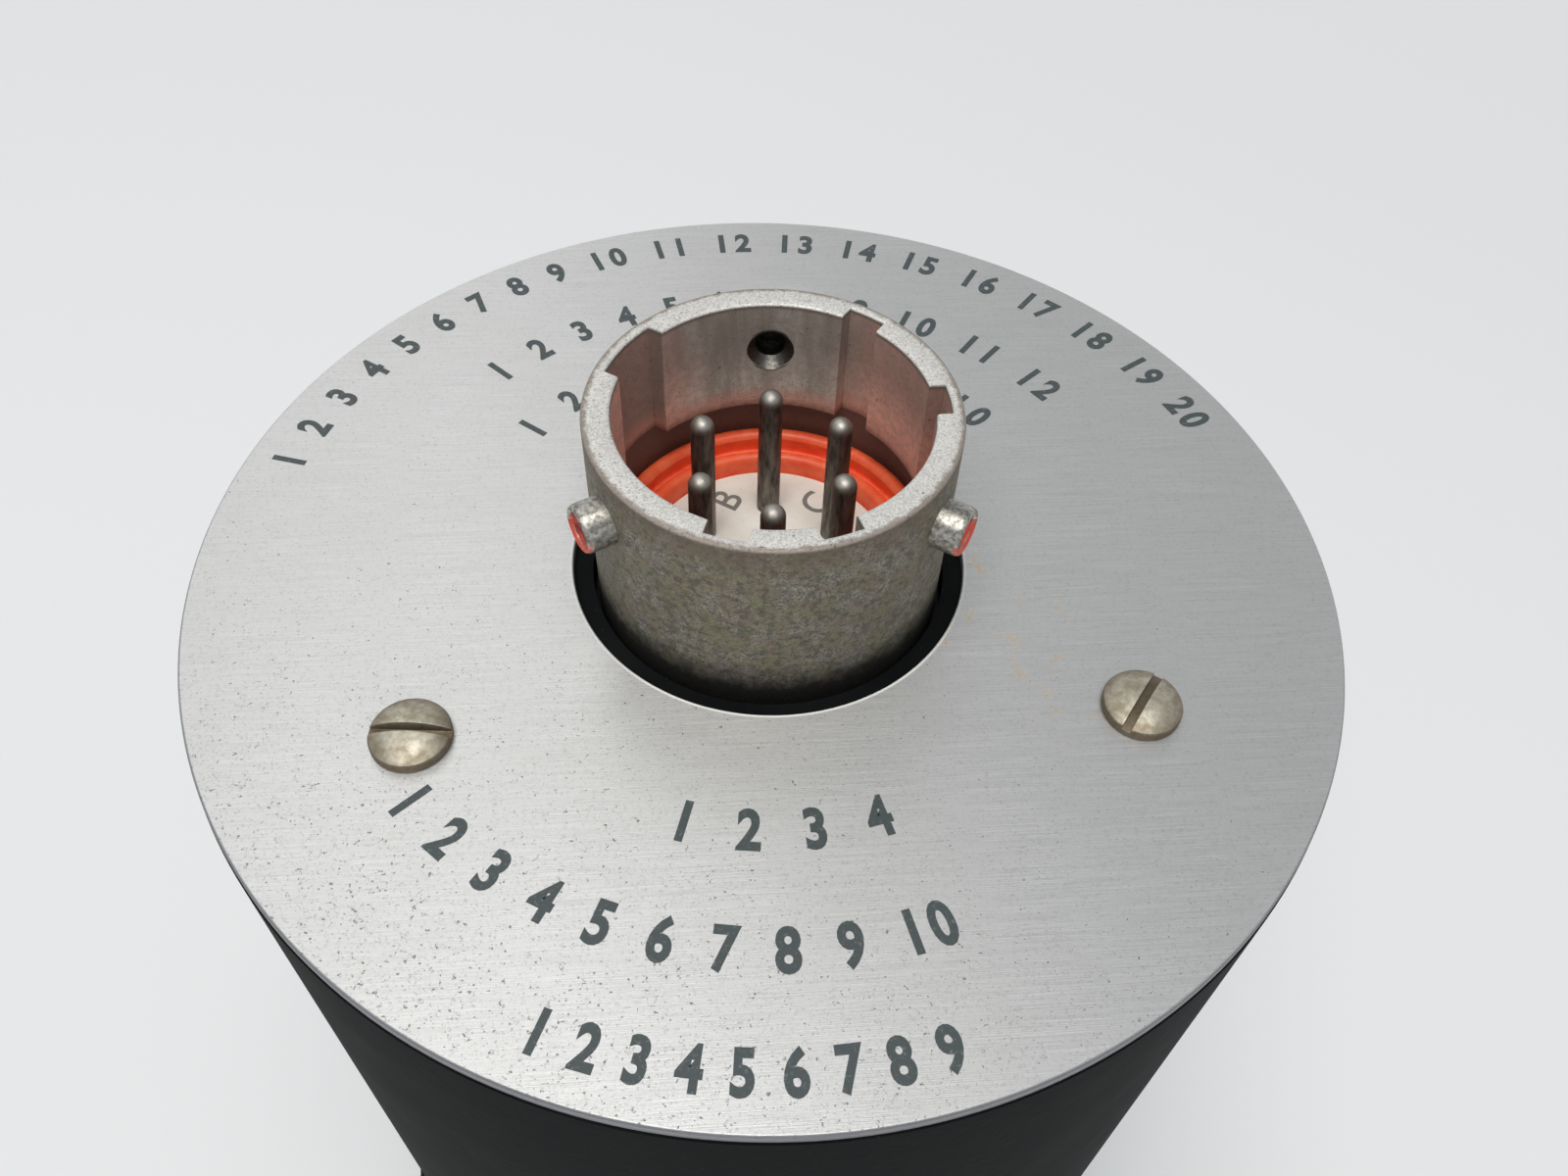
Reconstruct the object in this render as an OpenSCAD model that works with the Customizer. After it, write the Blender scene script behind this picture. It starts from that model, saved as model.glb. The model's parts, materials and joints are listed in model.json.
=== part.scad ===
// Panel indicator, round body, standing on its bezel with the electrical connector upward.
// Units are millimetres. Z = 0 is the front face of the bezel and +Z points to the rear.
// -Y is the lower side of the dial and of the rear plate.

/* [Bezel and window] */
// Outer diameter of the front bezel
bezel_d = 57.2; // [55:0.2:62]
// Distance from the front face to the face that meets the panel
bezel_flange_t = 4.2; // [3.6:0.1:6]
// Depth of the land in front of the snap ring
bezel_lip = 0.6; // [0.5:0.1:0.9]
// Diameter of the glass
glass_d = 44.6; // [42:0.1:46]
// Width of the shoulder behind the glass
glass_land = 1.7; // [1.4:0.1:2.4]
// Thickness of the glass
glass_t = 1.8; // [1.4:0.1:2]
// Thickness of the rubber ring behind the glass
glass_gasket_t = 0.4; // [0.3:0.1:0.6]
// Thickness of the snap ring that holds the glass
snap_t = 0.8; // [0.6:0.1:1]
// Depth of the groove for the snap ring
snap_groove = 0.7; // [0.5:0.05:0.9]

/* [Case] */
// Outer diameter of the case
case_d = 49.5; // [49:0.1:50.5]
// Wall of the case
case_wall = 1.2; // [1:0.05:1.3]
// Thickness of the rear wall of the case
end_wall_t = 1.5; // [1.3:0.1:2]
// Wall of the bezel spigot that enters the case
spigot_wall = 2.6; // [2.4:0.1:3.4]
// Thickness of the rubber ring between bezel and case
case_gasket_t = 1; // [0.8:0.1:1.4]

/* [Rear plate] */
// Thickness of the rear plate
plate_t = 0.5; // [0.4:0.05:0.8]
// Diameter of the hole round the connector
plate_hole_d = 17.06; // [16.6:0.1:19]
// Angle of each rear screw from straight down
rear_screw_angle = 58.3; // [56:0.5:62]
// Diameter of the rear screw head
rear_head_d = 3.3; // [3.1:0.1:4.2]
// Length of the rear screw shank
rear_shank_l = 9; // [7:0.5:14]

/* [Dial and pointer] */
// Free depth between the window shoulder and the dial
pointer_space = 5.55; // [5:0.05:7]
// Thickness of the dial
dial_t = 0.8; // [0.6:0.1:1.2]
// Length of the spacers behind the dial
dial_spacer_l = 1.8; // [1.4:0.1:3]
// Radius at which the dial screws stand
dial_screw_r = 9; // [8.6:0.1:10]
// Distance from the axis to the pointer tip
pointer_l = 17.2; // [14:0.2:17.2]
// Distance from the axis to the end of the pointer tail
pointer_tail_l = 6.4; // [5:0.2:8]
// Thickness of the pointer
pointer_t = 0.4; // [0.3:0.05:0.6]
// Number of scale divisions
scale_divisions = 18; // [6:1:24]
// Sweep of the scale in degrees
scale_sweep = 270; // [240:10:300]
// Length of a main scale mark
mark_l = 2.2; // [1.6:0.1:2.4]

/* [Frame] */
// Thickness of the frame plate
frame_t = 2.5; // [2.2:0.1:4]
// Diameter of the support posts
post_d = 4.8; // [4.2:0.1:5]
// Gap between the posts and the synchro
post_gap = 1.11; // [0.8:0.05:1.6]

/* [Synchro] */
// Outer diameter of the synchro housing
synchro_d = 26.98; // [26:0.1:27.4]
// Length of the synchro housing
synchro_l = 40; // [40:0.5:42]
// Wall of the synchro housing
synchro_wall = 0.9; // [0.7:0.1:1.1]
// Diameter of the pilot boss
pilot_d = 12.8; // [12:0.1:13.2]
// Shaft diameter at the bearings
shaft_d = 3.175; // [3.1:0.025:3.2]
// Shaft diameter at the pointer
shaft_tip_d = 3.05; // [2.8:0.05:3.05]
// Outer diameter of the bearings
bearing_d = 9.525; // [9.3:0.1:10]
// Width of the bearings
bearing_w = 3.967; // [3.7:0.1:4.2]
// Diameter of the bearing balls
ball_d = 1.588; // [1.4:0.05:1.6]
// Number of balls in a bearing
ball_count = 7; // [6:1:8]
// Diameter of the rotor
rotor_d = 14.6; // [14:0.1:15]
// Length of the iron core
core_l = 14; // [12:0.5:16]
// Radial gap between rotor and stator
air_gap = 0.15; // [0.1:0.05:0.3]
// Number of stator slots
stator_slots = 12; // [9:3:15]
// Diameter of the slip rings
slip_ring_d = 5.2; // [5:0.1:5.6]

/* [Connector] */
// Outer diameter of the connector shell
shell_d = 14.99; // [14.9:0.02:15.2]
// Wall of the connector shell in front
shell_wall = 1.145; // [1.05:0.05:1.3]
// Distance from the shell flange to its rim
shell_front_l = 10.95; // [10.5:0.1:13]
// Length of the shell barrel behind its flange
shell_rear_l = 6.85; // [6:0.1:8]
// Width over the square shell flange
shell_flange_w = 23.8; // [23.4:0.1:24.4]
// Thickness of the shell flange
shell_flange_t = 1.6; // [1.4:0.1:2]
// Thickness of the gasket in front of the flange
shell_gasket_t = 0.35; // [0.3:0.05:0.6]
// Spacing of the four flange screws
flange_screw_pitch = 18.26; // [18:0.1:18.4]
// Wall left behind the keyways
keyway_back = 0.495; // [0.4:0.05:0.7]
// Width of the main keyway
main_keyway_w = 3.2; // [2.8:0.1:3.4]
// Width of the other keyways
keyway_w = 1.65; // [1.4:0.05:1.8]
// Angle from the left rear screw to the main keyway
keyway_from_screw = 64.7; // [60:0.5:70]
// Wall left behind the undercut that holds the seal
undercut_back = 0.445; // [0.4:0.05:0.6]
// Length of the undercut in front of the insert face
undercut_l = 3.5; // [3:0.1:3.9]
// Depth of the insert face below the rim
insert_depth = 9.07; // [8.9:0.05:9.3]
// Diameter of the circle of contacts
contact_circle_d = 6.6; // [6.4:0.05:6.8]
// Diameter of a contact pin
contact_d = 1.016; // [0.9:0.05:1.1]
// Depth of the pin tips below the rim
contact_setback = 2.15; // [1.6:0.05:3]
// Number of contacts
contact_count = 6; // [4:1:6]
// Diameter of a bayonet pin
bayonet_d = 2.05; // [1.9:0.05:2.4]
// Bore of a bayonet pin
bayonet_bore_d = 1.3; // [1.1:0.05:1.4]
// Diameter over the three bayonet pins
bayonet_span_d = 17.27; // [17:0.05:17.6]
// Depth of the bayonet pins below the rim
bayonet_depth = 2.45; // [2.2:0.05:3]

/* [Wiring] */
// Diameter of a hook-up wire
wire_d = 1; // [0.8:0.05:1]
// Radius at which the terminals stand
terminal_r = 8; // [7.6:0.1:9]
// Height of a terminal
terminal_h = 3.2; // [2.6:0.1:3.6]
// Room for the wires between the terminals and the connector
wiring_space = 7.2; // [6:0.2:16]

/* [Hidden] */
$fn = 96;

// Clearances
slip = 0.05;          // between pieces that slide together and then stay
run = 0.04;           // radial gap of a running fit
loose = 0.15;         // round the glass and the loose pieces
plate_inset = 0.05;   // rear plate inside the outline of the case
eps = 0.01;           // overrun of a cut past a face

// Radii
case_r = case_d / 2;
case_in_r = case_r - case_wall;
plate_r = case_r - plate_inset;
bezel_r = bezel_d / 2;
gasket_seat_r = case_r + loose;
spigot_r = case_in_r - slip;
spigot_in_r = spigot_r - spigot_wall;
glass_r = glass_d / 2;
glass_seat_r = glass_r + loose;
groove_r = glass_seat_r + snap_groove;
window_r = glass_r - glass_land;
dial_r = spigot_in_r - loose;
frame_r = case_in_r - 0.25;
frame_screw_r = (spigot_in_r + spigot_r) / 2;
synchro_r = synchro_d / 2;
synchro_in_r = synchro_r - synchro_wall;
rear_screw_r = synchro_r + post_gap + post_d / 2;
shaft_r = shaft_d / 2;
shaft_tip_r = shaft_tip_d / 2;
rotor_r = rotor_d / 2;
stator_in_r = rotor_r + air_gap;
shell_r = shell_d / 2;
shell_bore_r = shell_r - shell_wall;
keyway_r = shell_r - keyway_back;
undercut_r = shell_r - undercut_back;
case_hole_r = shell_r + 0.2;
plate_hole_r = plate_hole_d / 2;
contact_r = contact_d / 2;
contact_circle_r = contact_circle_d / 2;

// Screw sizes
small_screw_d = 1.52;     // frame, clamp and dial screws
small_hole_d = small_screw_d + 2 * run;
small_head_d = 2.4;
small_head_t = 0.9;
dial_head_t = 0.65;
frame_screw_depth = 3;    // reach of the frame screws into the bezel
post_stub_r = 1.5;        // end of a support post in the frame plate
screw_d = 2.18;           // rear and flange screws
screw_hole_d = screw_d + 0.24;
rear_head_side = 0.62;    // straight side of the rear screw head
rear_head_dome = 0.42;    // crown above that side
rear_slot_w = 0.46;
rear_slot_depth = 0.6;
rear_slot_angles = [-5, 52];
flat_head_d = 4.1;
flat_head_t = 1.05;
nut_w = 4.76;
nut_t = 1.6;

// Angles round the axis
rear_screw_angles = [270 - rear_screw_angle, 270 + rear_screw_angle];
main_keyway_angle = rear_screw_angles[0] - keyway_from_screw;
frame_screw_angles = [60, 180, 300];
clamp_angles = [30, 150, 270];
dial_screw_angles = [0, 180];
keyway_angles = [105, 140, 215, 265];          // from the main keyway
bayonet_angles = [-60, 60, 180];               // from the main keyway
scale_zero = 270 + (360 - scale_sweep) / 2;    // lower left, seen from the front
scale_step = scale_sweep / scale_divisions;
mark_outer_r = dial_r - 1.2;
mark_t = 0.06;

// Places along the axis, from the front face to the frame plate
snap_z = bezel_lip;
glass_z = snap_z + snap_t + slip;
gasket_z = glass_z + glass_t;
shoulder_z = gasket_z + glass_gasket_t;
land_t = 0.5;             // thickness of the shoulder behind the glass
land_back_z = shoulder_z + land_t;
dial_z = shoulder_z + pointer_space;
spacer_z = dial_z + dial_t;
frame_z = spacer_z + dial_spacer_l;
frame_back_z = frame_z + frame_t;
gasket_recess = 0.15;     // recess in the flange for the case gasket
gasket_seat_z = bezel_flange_t - gasket_recess;
case_z = gasket_seat_z + case_gasket_t;

// Pointer and its hub
pointer_stand = 2.3;      // from the front of the pointer to the dial
pointer_front_z = dial_z - pointer_stand;
pointer_back_z = pointer_front_z + pointer_t;
pointer_root_w = 2.3;
pointer_shoulder_w = 1.5;
pointer_tip_w = 0.24;
pointer_taper_l = 3.4;
hub_wall = 0.375;
hub_r = shaft_tip_r + hub_wall;
hub_flange_r = hub_r + 0.6;
hub_back_z = dial_z - 0.8;
hub_front_z = pointer_front_z - 0.35;
spacer_r = 1.7;

// Synchro, along the axis
pilot_l = 2;
pilot_clear_r = shaft_tip_r + 0.75;
front_bearing_z = frame_back_z + 1.1;
front_boss_z = front_bearing_z + bearing_w;
core_z = front_boss_z + 7;
core_end_z = core_z + core_l;
end_turn_l = 3.4;
housing_end_z = frame_back_z + synchro_l;
end_cap_t = 2;
cap_spigot_l = 1.6;
cap_spigot_z = housing_end_z - cap_spigot_l;
rear_bearing_cover = 1.3;  // end cap behind the rear bearing
rear_bearing_z = housing_end_z + end_cap_t - rear_bearing_cover - bearing_w;
slip_sleeve_gap = 0.8;    // from the end turns to the slip ring sleeve
slip_sleeve_z = core_end_z + end_turn_l + slip_sleeve_gap;
slip_sleeve_l = 4.6;
slip_ring_t = 1.4;
slip_ring_gap = 0.6;
slip_ring_wall = 0.5;
brush_block_w = 3;
brush_block_l = 7;
brush_block_gap = 1.4;    // from the brush block to the wall of the housing
brush_x = synchro_in_r - brush_block_gap - brush_block_w;
synchro_lip_t = 1.6;      // lip of the housing in front of the clamp groove
clamp_groove_z = frame_back_z + synchro_lip_t;
clamp_groove_t = 1.6;
clamp_groove_depth = 0.85;
clamp_top_z = clamp_groove_z + clamp_groove_t - slip;
clamp_reach = 5.2;
clamp_w = 6;
clamp_screw_gap = 2.6;    // from the housing to the axis of a clamp screw
clamp_screw_r = synchro_r + clamp_screw_gap;
boss_wall = 1.6;
bearing_r = bearing_d / 2;
bearing_pitch_r = (shaft_r + bearing_r) / 2;
race_gap = 1.06;
cage_t = 0.5;             // radial thickness of a ball cage
cage_w = 1.7;
cage_back = 1.3;          // from the ball centres to the closed side of the cage
board_t = 1.5;
board_z = housing_end_z + end_cap_t;
terminal_z = board_z + board_t;
terminal_top_z = terminal_z + terminal_h;
terminal_stem_r = 0.7;
wired_contacts = min(contact_count, 5);

// Places along the axis, from the terminals to the rim of the connector
barrel_end_z = terminal_top_z + wiring_space;
flange_back_z = barrel_end_z + shell_rear_l;
flange_front_z = flange_back_z + shell_flange_t;
end_wall_z = flange_front_z + shell_gasket_t;
case_end_z = end_wall_z + end_wall_t;
plate_top_z = case_end_z + plate_t;
rim_z = flange_front_z + shell_front_l;
insert_z = rim_z - insert_depth;
undercut_z = insert_z + undercut_l;
bayonet_z = rim_z - bayonet_depth;
contact_tip_z = rim_z - contact_setback;

// Contact and wiring details
cup_l = 3;
cup_bore_r = wire_d / 2 + 0.08;
cup_r = cup_bore_r + 0.25;
cup_depth = 2;
wire_in_cup = 0.5;
insert_back_z = barrel_end_z + 0.6;
seal_seat = 0.93;         // from the insert face down to the seat of the seal
seal_z = insert_z - seal_seat;
seal_w = 1.49;
seal_in_r = undercut_r - seal_w;
seal_rib_r = 0.34;
seal_outer_h = 1.2;
seal_inner_h = 0.5;
cup_end_z = insert_back_z - cup_l;
contact_first_angle = main_keyway_angle - 60;
function contact_angle(i) = contact_first_angle + i * 360 / contact_count;

// A tube or ring between two radii
module ring(r_out, r_in, h) {
    difference() {
        cylinder(r = r_out, h = h);
        translate([0, 0, -eps]) cylinder(r = r_in, h = h + 2 * eps);
    }
}

// A round hole to cut through a plate whose front face is at z = 0
module hole(d, l) {
    translate([0, 0, -eps]) cylinder(r = d / 2, h = l + 2 * eps, $fn = 32);
}

// Children placed at a radius and an angle
module polar(r, a, z = 0) {
    rotate([0, 0, a]) translate([r, 0, z]) children();
}

// A screw with a flat cheese head above z = 0 and a shank below
module cheese_screw(head_d, head_t, d, l, slot_w = 0.4, slot_depth = 0.4) {
    difference() {
        cylinder(r = head_d / 2, h = head_t);
        translate([-head_d, -slot_w / 2, head_t - slot_depth]) cube([2 * head_d, slot_w, slot_depth + eps]);
    }
    translate([0, 0, -l]) cylinder(r = d / 2, h = l);
}

// Front bezel: flange with the seat for the glass, recess for the gasket, and the spigot that enters the case
module bezel() {
    color("#17181a") difference() {
        rotate_extrude() polygon([
            [window_r, shoulder_z],
            [glass_seat_r, shoulder_z],
            [glass_seat_r, snap_z + snap_t + slip],
            [groove_r, snap_z + snap_t + slip],
            [groove_r, snap_z],
            [glass_seat_r, snap_z],
            [glass_seat_r, 0.4],
            [glass_seat_r + 0.9, 0],
            [bezel_r - 0.8, 0],
            [bezel_r, 0.8],
            [bezel_r, bezel_flange_t - 0.3],
            [bezel_r - 0.3, bezel_flange_t],
            [gasket_seat_r, bezel_flange_t],
            [gasket_seat_r, gasket_seat_z],
            [spigot_r, gasket_seat_z],
            [spigot_r, frame_z - 0.4],
            [spigot_r - 0.4, frame_z],
            [spigot_in_r, frame_z],
            [spigot_in_r, land_back_z],
            [window_r, land_back_z]
        ]);
        for (a = frame_screw_angles) polar(frame_screw_r, a, frame_z - frame_screw_depth - 0.5)
            hole(small_hole_d, frame_screw_depth + 0.5);
    }
}

// Open ring that springs into the groove in front of the glass
module window_snap_ring() {
    ring_in_r = window_r + 0.3;
    ring_out_r = groove_r - 0.08;
    lug_a = 276;
    lug_r = 1.1;
    color("#2a2b2d") translate([0, 0, snap_z]) difference() {
        union() {
            rotate([0, 0, lug_a]) rotate_extrude(angle = 348)
                translate([ring_in_r, 0]) square([ring_out_r - ring_in_r, snap_t]);
            for (a = [lug_a + 1.6, lug_a - 13.6]) polar(ring_in_r + 0.35, a) cylinder(r = lug_r, h = snap_t);
        }
        for (a = [lug_a + 1.6, lug_a - 13.6])
            polar(ring_in_r + 0.35, a, -eps) cylinder(r = 0.5, h = snap_t + 2 * eps, $fn = 32);
    }
}

// Flat window with a small chamfer on each edge
module window_glass() {
    edge = 0.25;
    color("#dfe9ea", 0.35) rotate_extrude() polygon([
        [0, glass_z],
        [glass_r - edge, glass_z],
        [glass_r, glass_z + edge],
        [glass_r, gasket_z - edge],
        [glass_r - edge, gasket_z],
        [0, gasket_z]
    ]);
}

// Rubber ring between the glass and its shoulder
module glass_gasket() {
    color("#202020") translate([0, 0, gasket_z]) ring(glass_r, window_r + loose, glass_gasket_t);
}

// Rubber ring between the bezel and the front edge of the case
module case_gasket() {
    color("#202020") translate([0, 0, gasket_seat_z]) ring(case_r - slip, spigot_r + slip, case_gasket_t);
}

// Drawn can that slips over the movement from the rear
module case() {
    color("#141516") difference() {
        rotate_extrude() polygon([
            [case_in_r, case_z],
            [case_r, case_z],
            [case_r, case_end_z],
            [case_hole_r, case_end_z],
            [case_hole_r, end_wall_z],
            [case_in_r - 1.2, end_wall_z],
            [case_in_r, end_wall_z - 1.2]
        ]);
        for (a = rear_screw_angles) polar(rear_screw_r, a, end_wall_z) hole(screw_hole_d, end_wall_t);
        flange_corners(end_wall_z) {
            hole(screw_hole_d, end_wall_t);
            translate([0, 0, end_wall_t - flat_head_t])
                cylinder(r1 = screw_d / 2 + run, r2 = flat_head_d / 2 + run, h = flat_head_t + eps);
        }
    }
}

// Thin brushed plate on the rear wall
module rear_plate() {
    edge = 0.12;
    color("#c3c7cb") difference() {
        rotate_extrude() polygon([
            [plate_hole_r, case_end_z],
            [plate_r, case_end_z],
            [plate_r, plate_top_z - edge],
            [plate_r - edge, plate_top_z],
            [plate_hole_r + edge, plate_top_z],
            [plate_hole_r, plate_top_z - edge]
        ]);
        for (a = rear_screw_angles) polar(rear_screw_r, a, case_end_z) hole(screw_hole_d, plate_t);
    }
}

// Two slotted screws with crowned heads, through the plate and the rear wall into the posts
module rear_screws() {
    head_r = rear_head_d / 2;
    crown_r = (head_r * head_r + rear_head_dome * rear_head_dome) / (2 * rear_head_dome);
    head_h = rear_head_side + rear_head_dome;
    color("#b5ae9c") for (i = [0, 1]) polar(rear_screw_r, rear_screw_angles[i], plate_top_z) {
        difference() {
            intersection() {
                cylinder(r = head_r, h = head_h);
                translate([0, 0, head_h - crown_r]) sphere(r = crown_r, $fn = 128);
            }
            rotate([0, 0, rear_slot_angles[i] - rear_screw_angles[i]])
                translate([-head_r - 1, -rear_slot_w / 2, head_h - rear_slot_depth])
                    cube([2 * head_r + 2, rear_slot_w, rear_slot_depth + eps]);
        }
        translate([0, 0, -rear_shank_l]) cylinder(r = screw_d / 2, h = rear_shank_l, $fn = 48);
    }
}

// Dial disc
module dial() {
    color("#101112") translate([0, 0, dial_z]) difference() {
        cylinder(r = dial_r, h = dial_t);
        translate([0, 0, -eps]) cylinder(r = shaft_tip_r + 0.9, h = dial_t + 2 * eps);
        for (a = dial_screw_angles) polar(dial_screw_r, a) hole(small_hole_d, dial_t);
    }
}

// Printed scale marks, one for each division and a longer, wider one at every third
module dial_marks() {
    color("#f1efe6") for (i = [0:scale_divisions]) {
        main = i % 3 == 0;
        l = main ? mark_l : mark_l * 0.6;
        w = main ? 0.6 : 0.32;
        polar(mark_outer_r - l, scale_zero + i * scale_step, dial_z - mark_t)
            translate([0, -w / 2, 0]) cube([l, w, mark_t]);
    }
}

// Two cheese-head screws that hold the dial, seen from the front
module dial_screws() {
    shank_l = dial_t + dial_spacer_l + 0.7 * frame_t;
    color("#8f9092") for (a = dial_screw_angles) polar(dial_screw_r, a, dial_z)
        mirror([0, 0, 1]) cheese_screw(small_head_d, dial_head_t, small_screw_d, shank_l);
}

// Spacers between dial and frame plate
module dial_spacers() {
    color("#a9abad") for (a = dial_screw_angles) polar(dial_screw_r, a, spacer_z)
        ring(spacer_r, small_hole_d / 2, dial_spacer_l, $fn = 48);
}

// Tapered pointer with a round tail, on the scale zero at rest
module pointer() {
    shoulder = pointer_l - pointer_taper_l;
    tail_w = pointer_shoulder_w;
    tail_r = pointer_shoulder_w;
    tail_l = pointer_tail_l - tail_r;
    color("#f3f1e8") rotate([0, 0, scale_zero]) translate([0, 0, pointer_front_z]) difference() {
        union() {
            cylinder(r = hub_r + 1, h = pointer_t);
            linear_extrude(height = pointer_t) polygon([
                [0, -pointer_root_w / 2],
                [shoulder, -pointer_shoulder_w / 2],
                [pointer_l, -pointer_tip_w / 2],
                [pointer_l, pointer_tip_w / 2],
                [shoulder, pointer_shoulder_w / 2],
                [0, pointer_root_w / 2]
            ]);
            translate([-tail_l, -tail_w / 2, 0]) cube([tail_l, tail_w, pointer_t]);
            translate([-tail_l, 0, 0]) cylinder(r = tail_r, h = pointer_t);
        }
        translate([0, 0, -eps]) cylinder(r = hub_r, h = pointer_t + 2 * eps);
    }
}

// Bush that carries the pointer on the shaft
module pointer_hub() {
    color("#b59a5b") rotate_extrude() polygon([
        [shaft_tip_r, hub_front_z],
        [hub_r, hub_front_z],
        [hub_r, pointer_back_z],
        [hub_flange_r, pointer_back_z],
        [hub_flange_r, hub_back_z - 0.4],
        [hub_r, hub_back_z],
        [shaft_tip_r, hub_back_z]
    ]);
}

// Crowned cap over the end of the shaft
module pointer_cap() {
    cap_r = hub_flange_r + 0.4;
    cap_t = 0.5;
    crown = 0.35;
    crown_r = (cap_r * cap_r + crown * crown) / (2 * crown);
    color("#1b1c1d") translate([0, 0, hub_front_z - cap_t - crown]) intersection() {
        cylinder(r = cap_r, h = cap_t + crown);
        translate([0, 0, crown_r]) sphere(r = crown_r, $fn = 128);
    }
}

// Round plate behind the dial that carries the synchro and the posts
module frame_plate() {
    color("#b9bbbd") translate([0, 0, frame_z]) difference() {
        cylinder(r = frame_r, h = frame_t);
        translate([0, 0, -eps]) cylinder(r = pilot_d / 2 + slip, h = frame_t + 2 * eps);
        for (a = frame_screw_angles) polar(frame_screw_r, a) hole(small_hole_d, frame_t);
        for (a = clamp_angles) polar(clamp_screw_r, a) hole(small_hole_d, frame_t);
        for (a = dial_screw_angles) polar(dial_screw_r, a) hole(small_hole_d, frame_t);
        for (a = rear_screw_angles) polar(rear_screw_r, a) hole(2 * post_stub_r, frame_t);
    }
}

// Three screws that hold the frame plate on the bezel spigot
module frame_screws() {
    color("#9b9c9e") for (a = frame_screw_angles) polar(frame_screw_r, a, frame_back_z)
        cheese_screw(small_head_d, small_head_t, small_screw_d, frame_t + frame_screw_depth);
}

// Two posts from the frame plate to the rear wall, each tapped for a rear screw
module support_posts() {
    tap_l = rear_shank_l - plate_t - end_wall_t + 1;
    color("#a7a9ab") for (a = rear_screw_angles) polar(rear_screw_r, a) difference() {
        union() {
            translate([0, 0, frame_back_z]) cylinder(r = post_d / 2, h = end_wall_z - frame_back_z);
            translate([0, 0, frame_z]) cylinder(r = post_stub_r, h = frame_t + eps, $fn = 32);
        }
        translate([0, 0, end_wall_z - tap_l]) cylinder(r = screw_d / 2 + run, h = tap_l + eps, $fn = 48);
    }
}

// Synchro housing: tube, front wall, bearing boss, pilot and clamp groove
module synchro_housing() {
    color("#8b8e91") rotate_extrude() polygon([
        [pilot_clear_r, frame_back_z - pilot_l],
        [pilot_d / 2, frame_back_z - pilot_l],
        [pilot_d / 2, frame_back_z],
        [synchro_r, frame_back_z],
        [synchro_r, clamp_groove_z],
        [synchro_r - clamp_groove_depth, clamp_groove_z],
        [synchro_r - clamp_groove_depth, clamp_groove_z + clamp_groove_t],
        [synchro_r, clamp_groove_z + clamp_groove_t],
        [synchro_r, housing_end_z],
        [synchro_in_r, housing_end_z],
        [synchro_in_r, clamp_groove_z + clamp_groove_t + 1.6],
        [bearing_r + boss_wall, clamp_groove_z + clamp_groove_t + 1.6],
        [bearing_r + boss_wall - 0.4, front_boss_z],
        [bearing_r, front_boss_z],
        [bearing_r, front_bearing_z],
        [pilot_clear_r, front_bearing_z]
    ]);
}

// Rear cap of the synchro with the seat for the rear bearing
module synchro_end_cap() {
    boss_z = rear_bearing_z - 0.4;
    color("#8b8e91") rotate_extrude() polygon([
        [0, board_z],
        [synchro_r, board_z],
        [synchro_r, housing_end_z],
        [synchro_in_r - slip, housing_end_z],
        [synchro_in_r - slip, cap_spigot_z],
        [bearing_r + boss_wall, cap_spigot_z],
        [bearing_r + boss_wall - 0.4, boss_z],
        [bearing_r, boss_z],
        [bearing_r, rear_bearing_z + bearing_w],
        [0, rear_bearing_z + bearing_w]
    ]);
}

// Three cleats that grip the groove of the synchro
module synchro_clamps() {
    lip_r = synchro_r - clamp_groove_depth + slip;
    outer_r = synchro_r + clamp_reach;
    lip_z = clamp_groove_z + slip;
    overlap = 1;              // of the cleat's block into the housing, cut away below
    color("#b9bbbd") for (a = clamp_angles) rotate([0, 0, a]) difference() {
        translate([lip_r - overlap, -clamp_w / 2, frame_back_z])
            cube([outer_r - lip_r + overlap, clamp_w, clamp_top_z - frame_back_z]);
        translate([0, 0, frame_back_z - eps]) cylinder(r = synchro_r + slip, h = lip_z - frame_back_z + eps);
        translate([0, 0, lip_z - eps]) cylinder(r = lip_r, h = clamp_top_z - lip_z + 2 * eps);
        translate([clamp_screw_r, 0, frame_back_z]) hole(small_hole_d, clamp_top_z - frame_back_z);
    }
}

// Screws of the three cleats
module clamp_screws() {
    shank_end_gap = 0.5;
    shank_l = clamp_top_z - frame_z - shank_end_gap;
    color("#9b9c9e") for (a = clamp_angles) polar(clamp_screw_r, a, clamp_top_z)
        cheese_screw(small_head_d, small_head_t, small_screw_d, shank_l);
}

slot_w = 1.7;
slot_depth = 2.4;
slot_mouth_w = 0.7;
tooth_tip = 0.9;          // depth of the slot mouth

// Stack of stator laminations with open slots
module stator_core() {
    color("#5c5f63") translate([0, 0, core_z]) difference() {
        ring(synchro_in_r - slip, stator_in_r, core_l);
        for (i = [0:stator_slots - 1]) polar(stator_in_r, i * 360 / stator_slots, -eps) {
            translate([-0.5, -slot_mouth_w / 2, 0]) cube([1 + tooth_tip, slot_mouth_w, core_l + 2 * eps]);
            translate([tooth_tip, -slot_w / 2, 0]) cube([slot_depth, slot_w, core_l + 2 * eps]);
        }
    }
}

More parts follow.
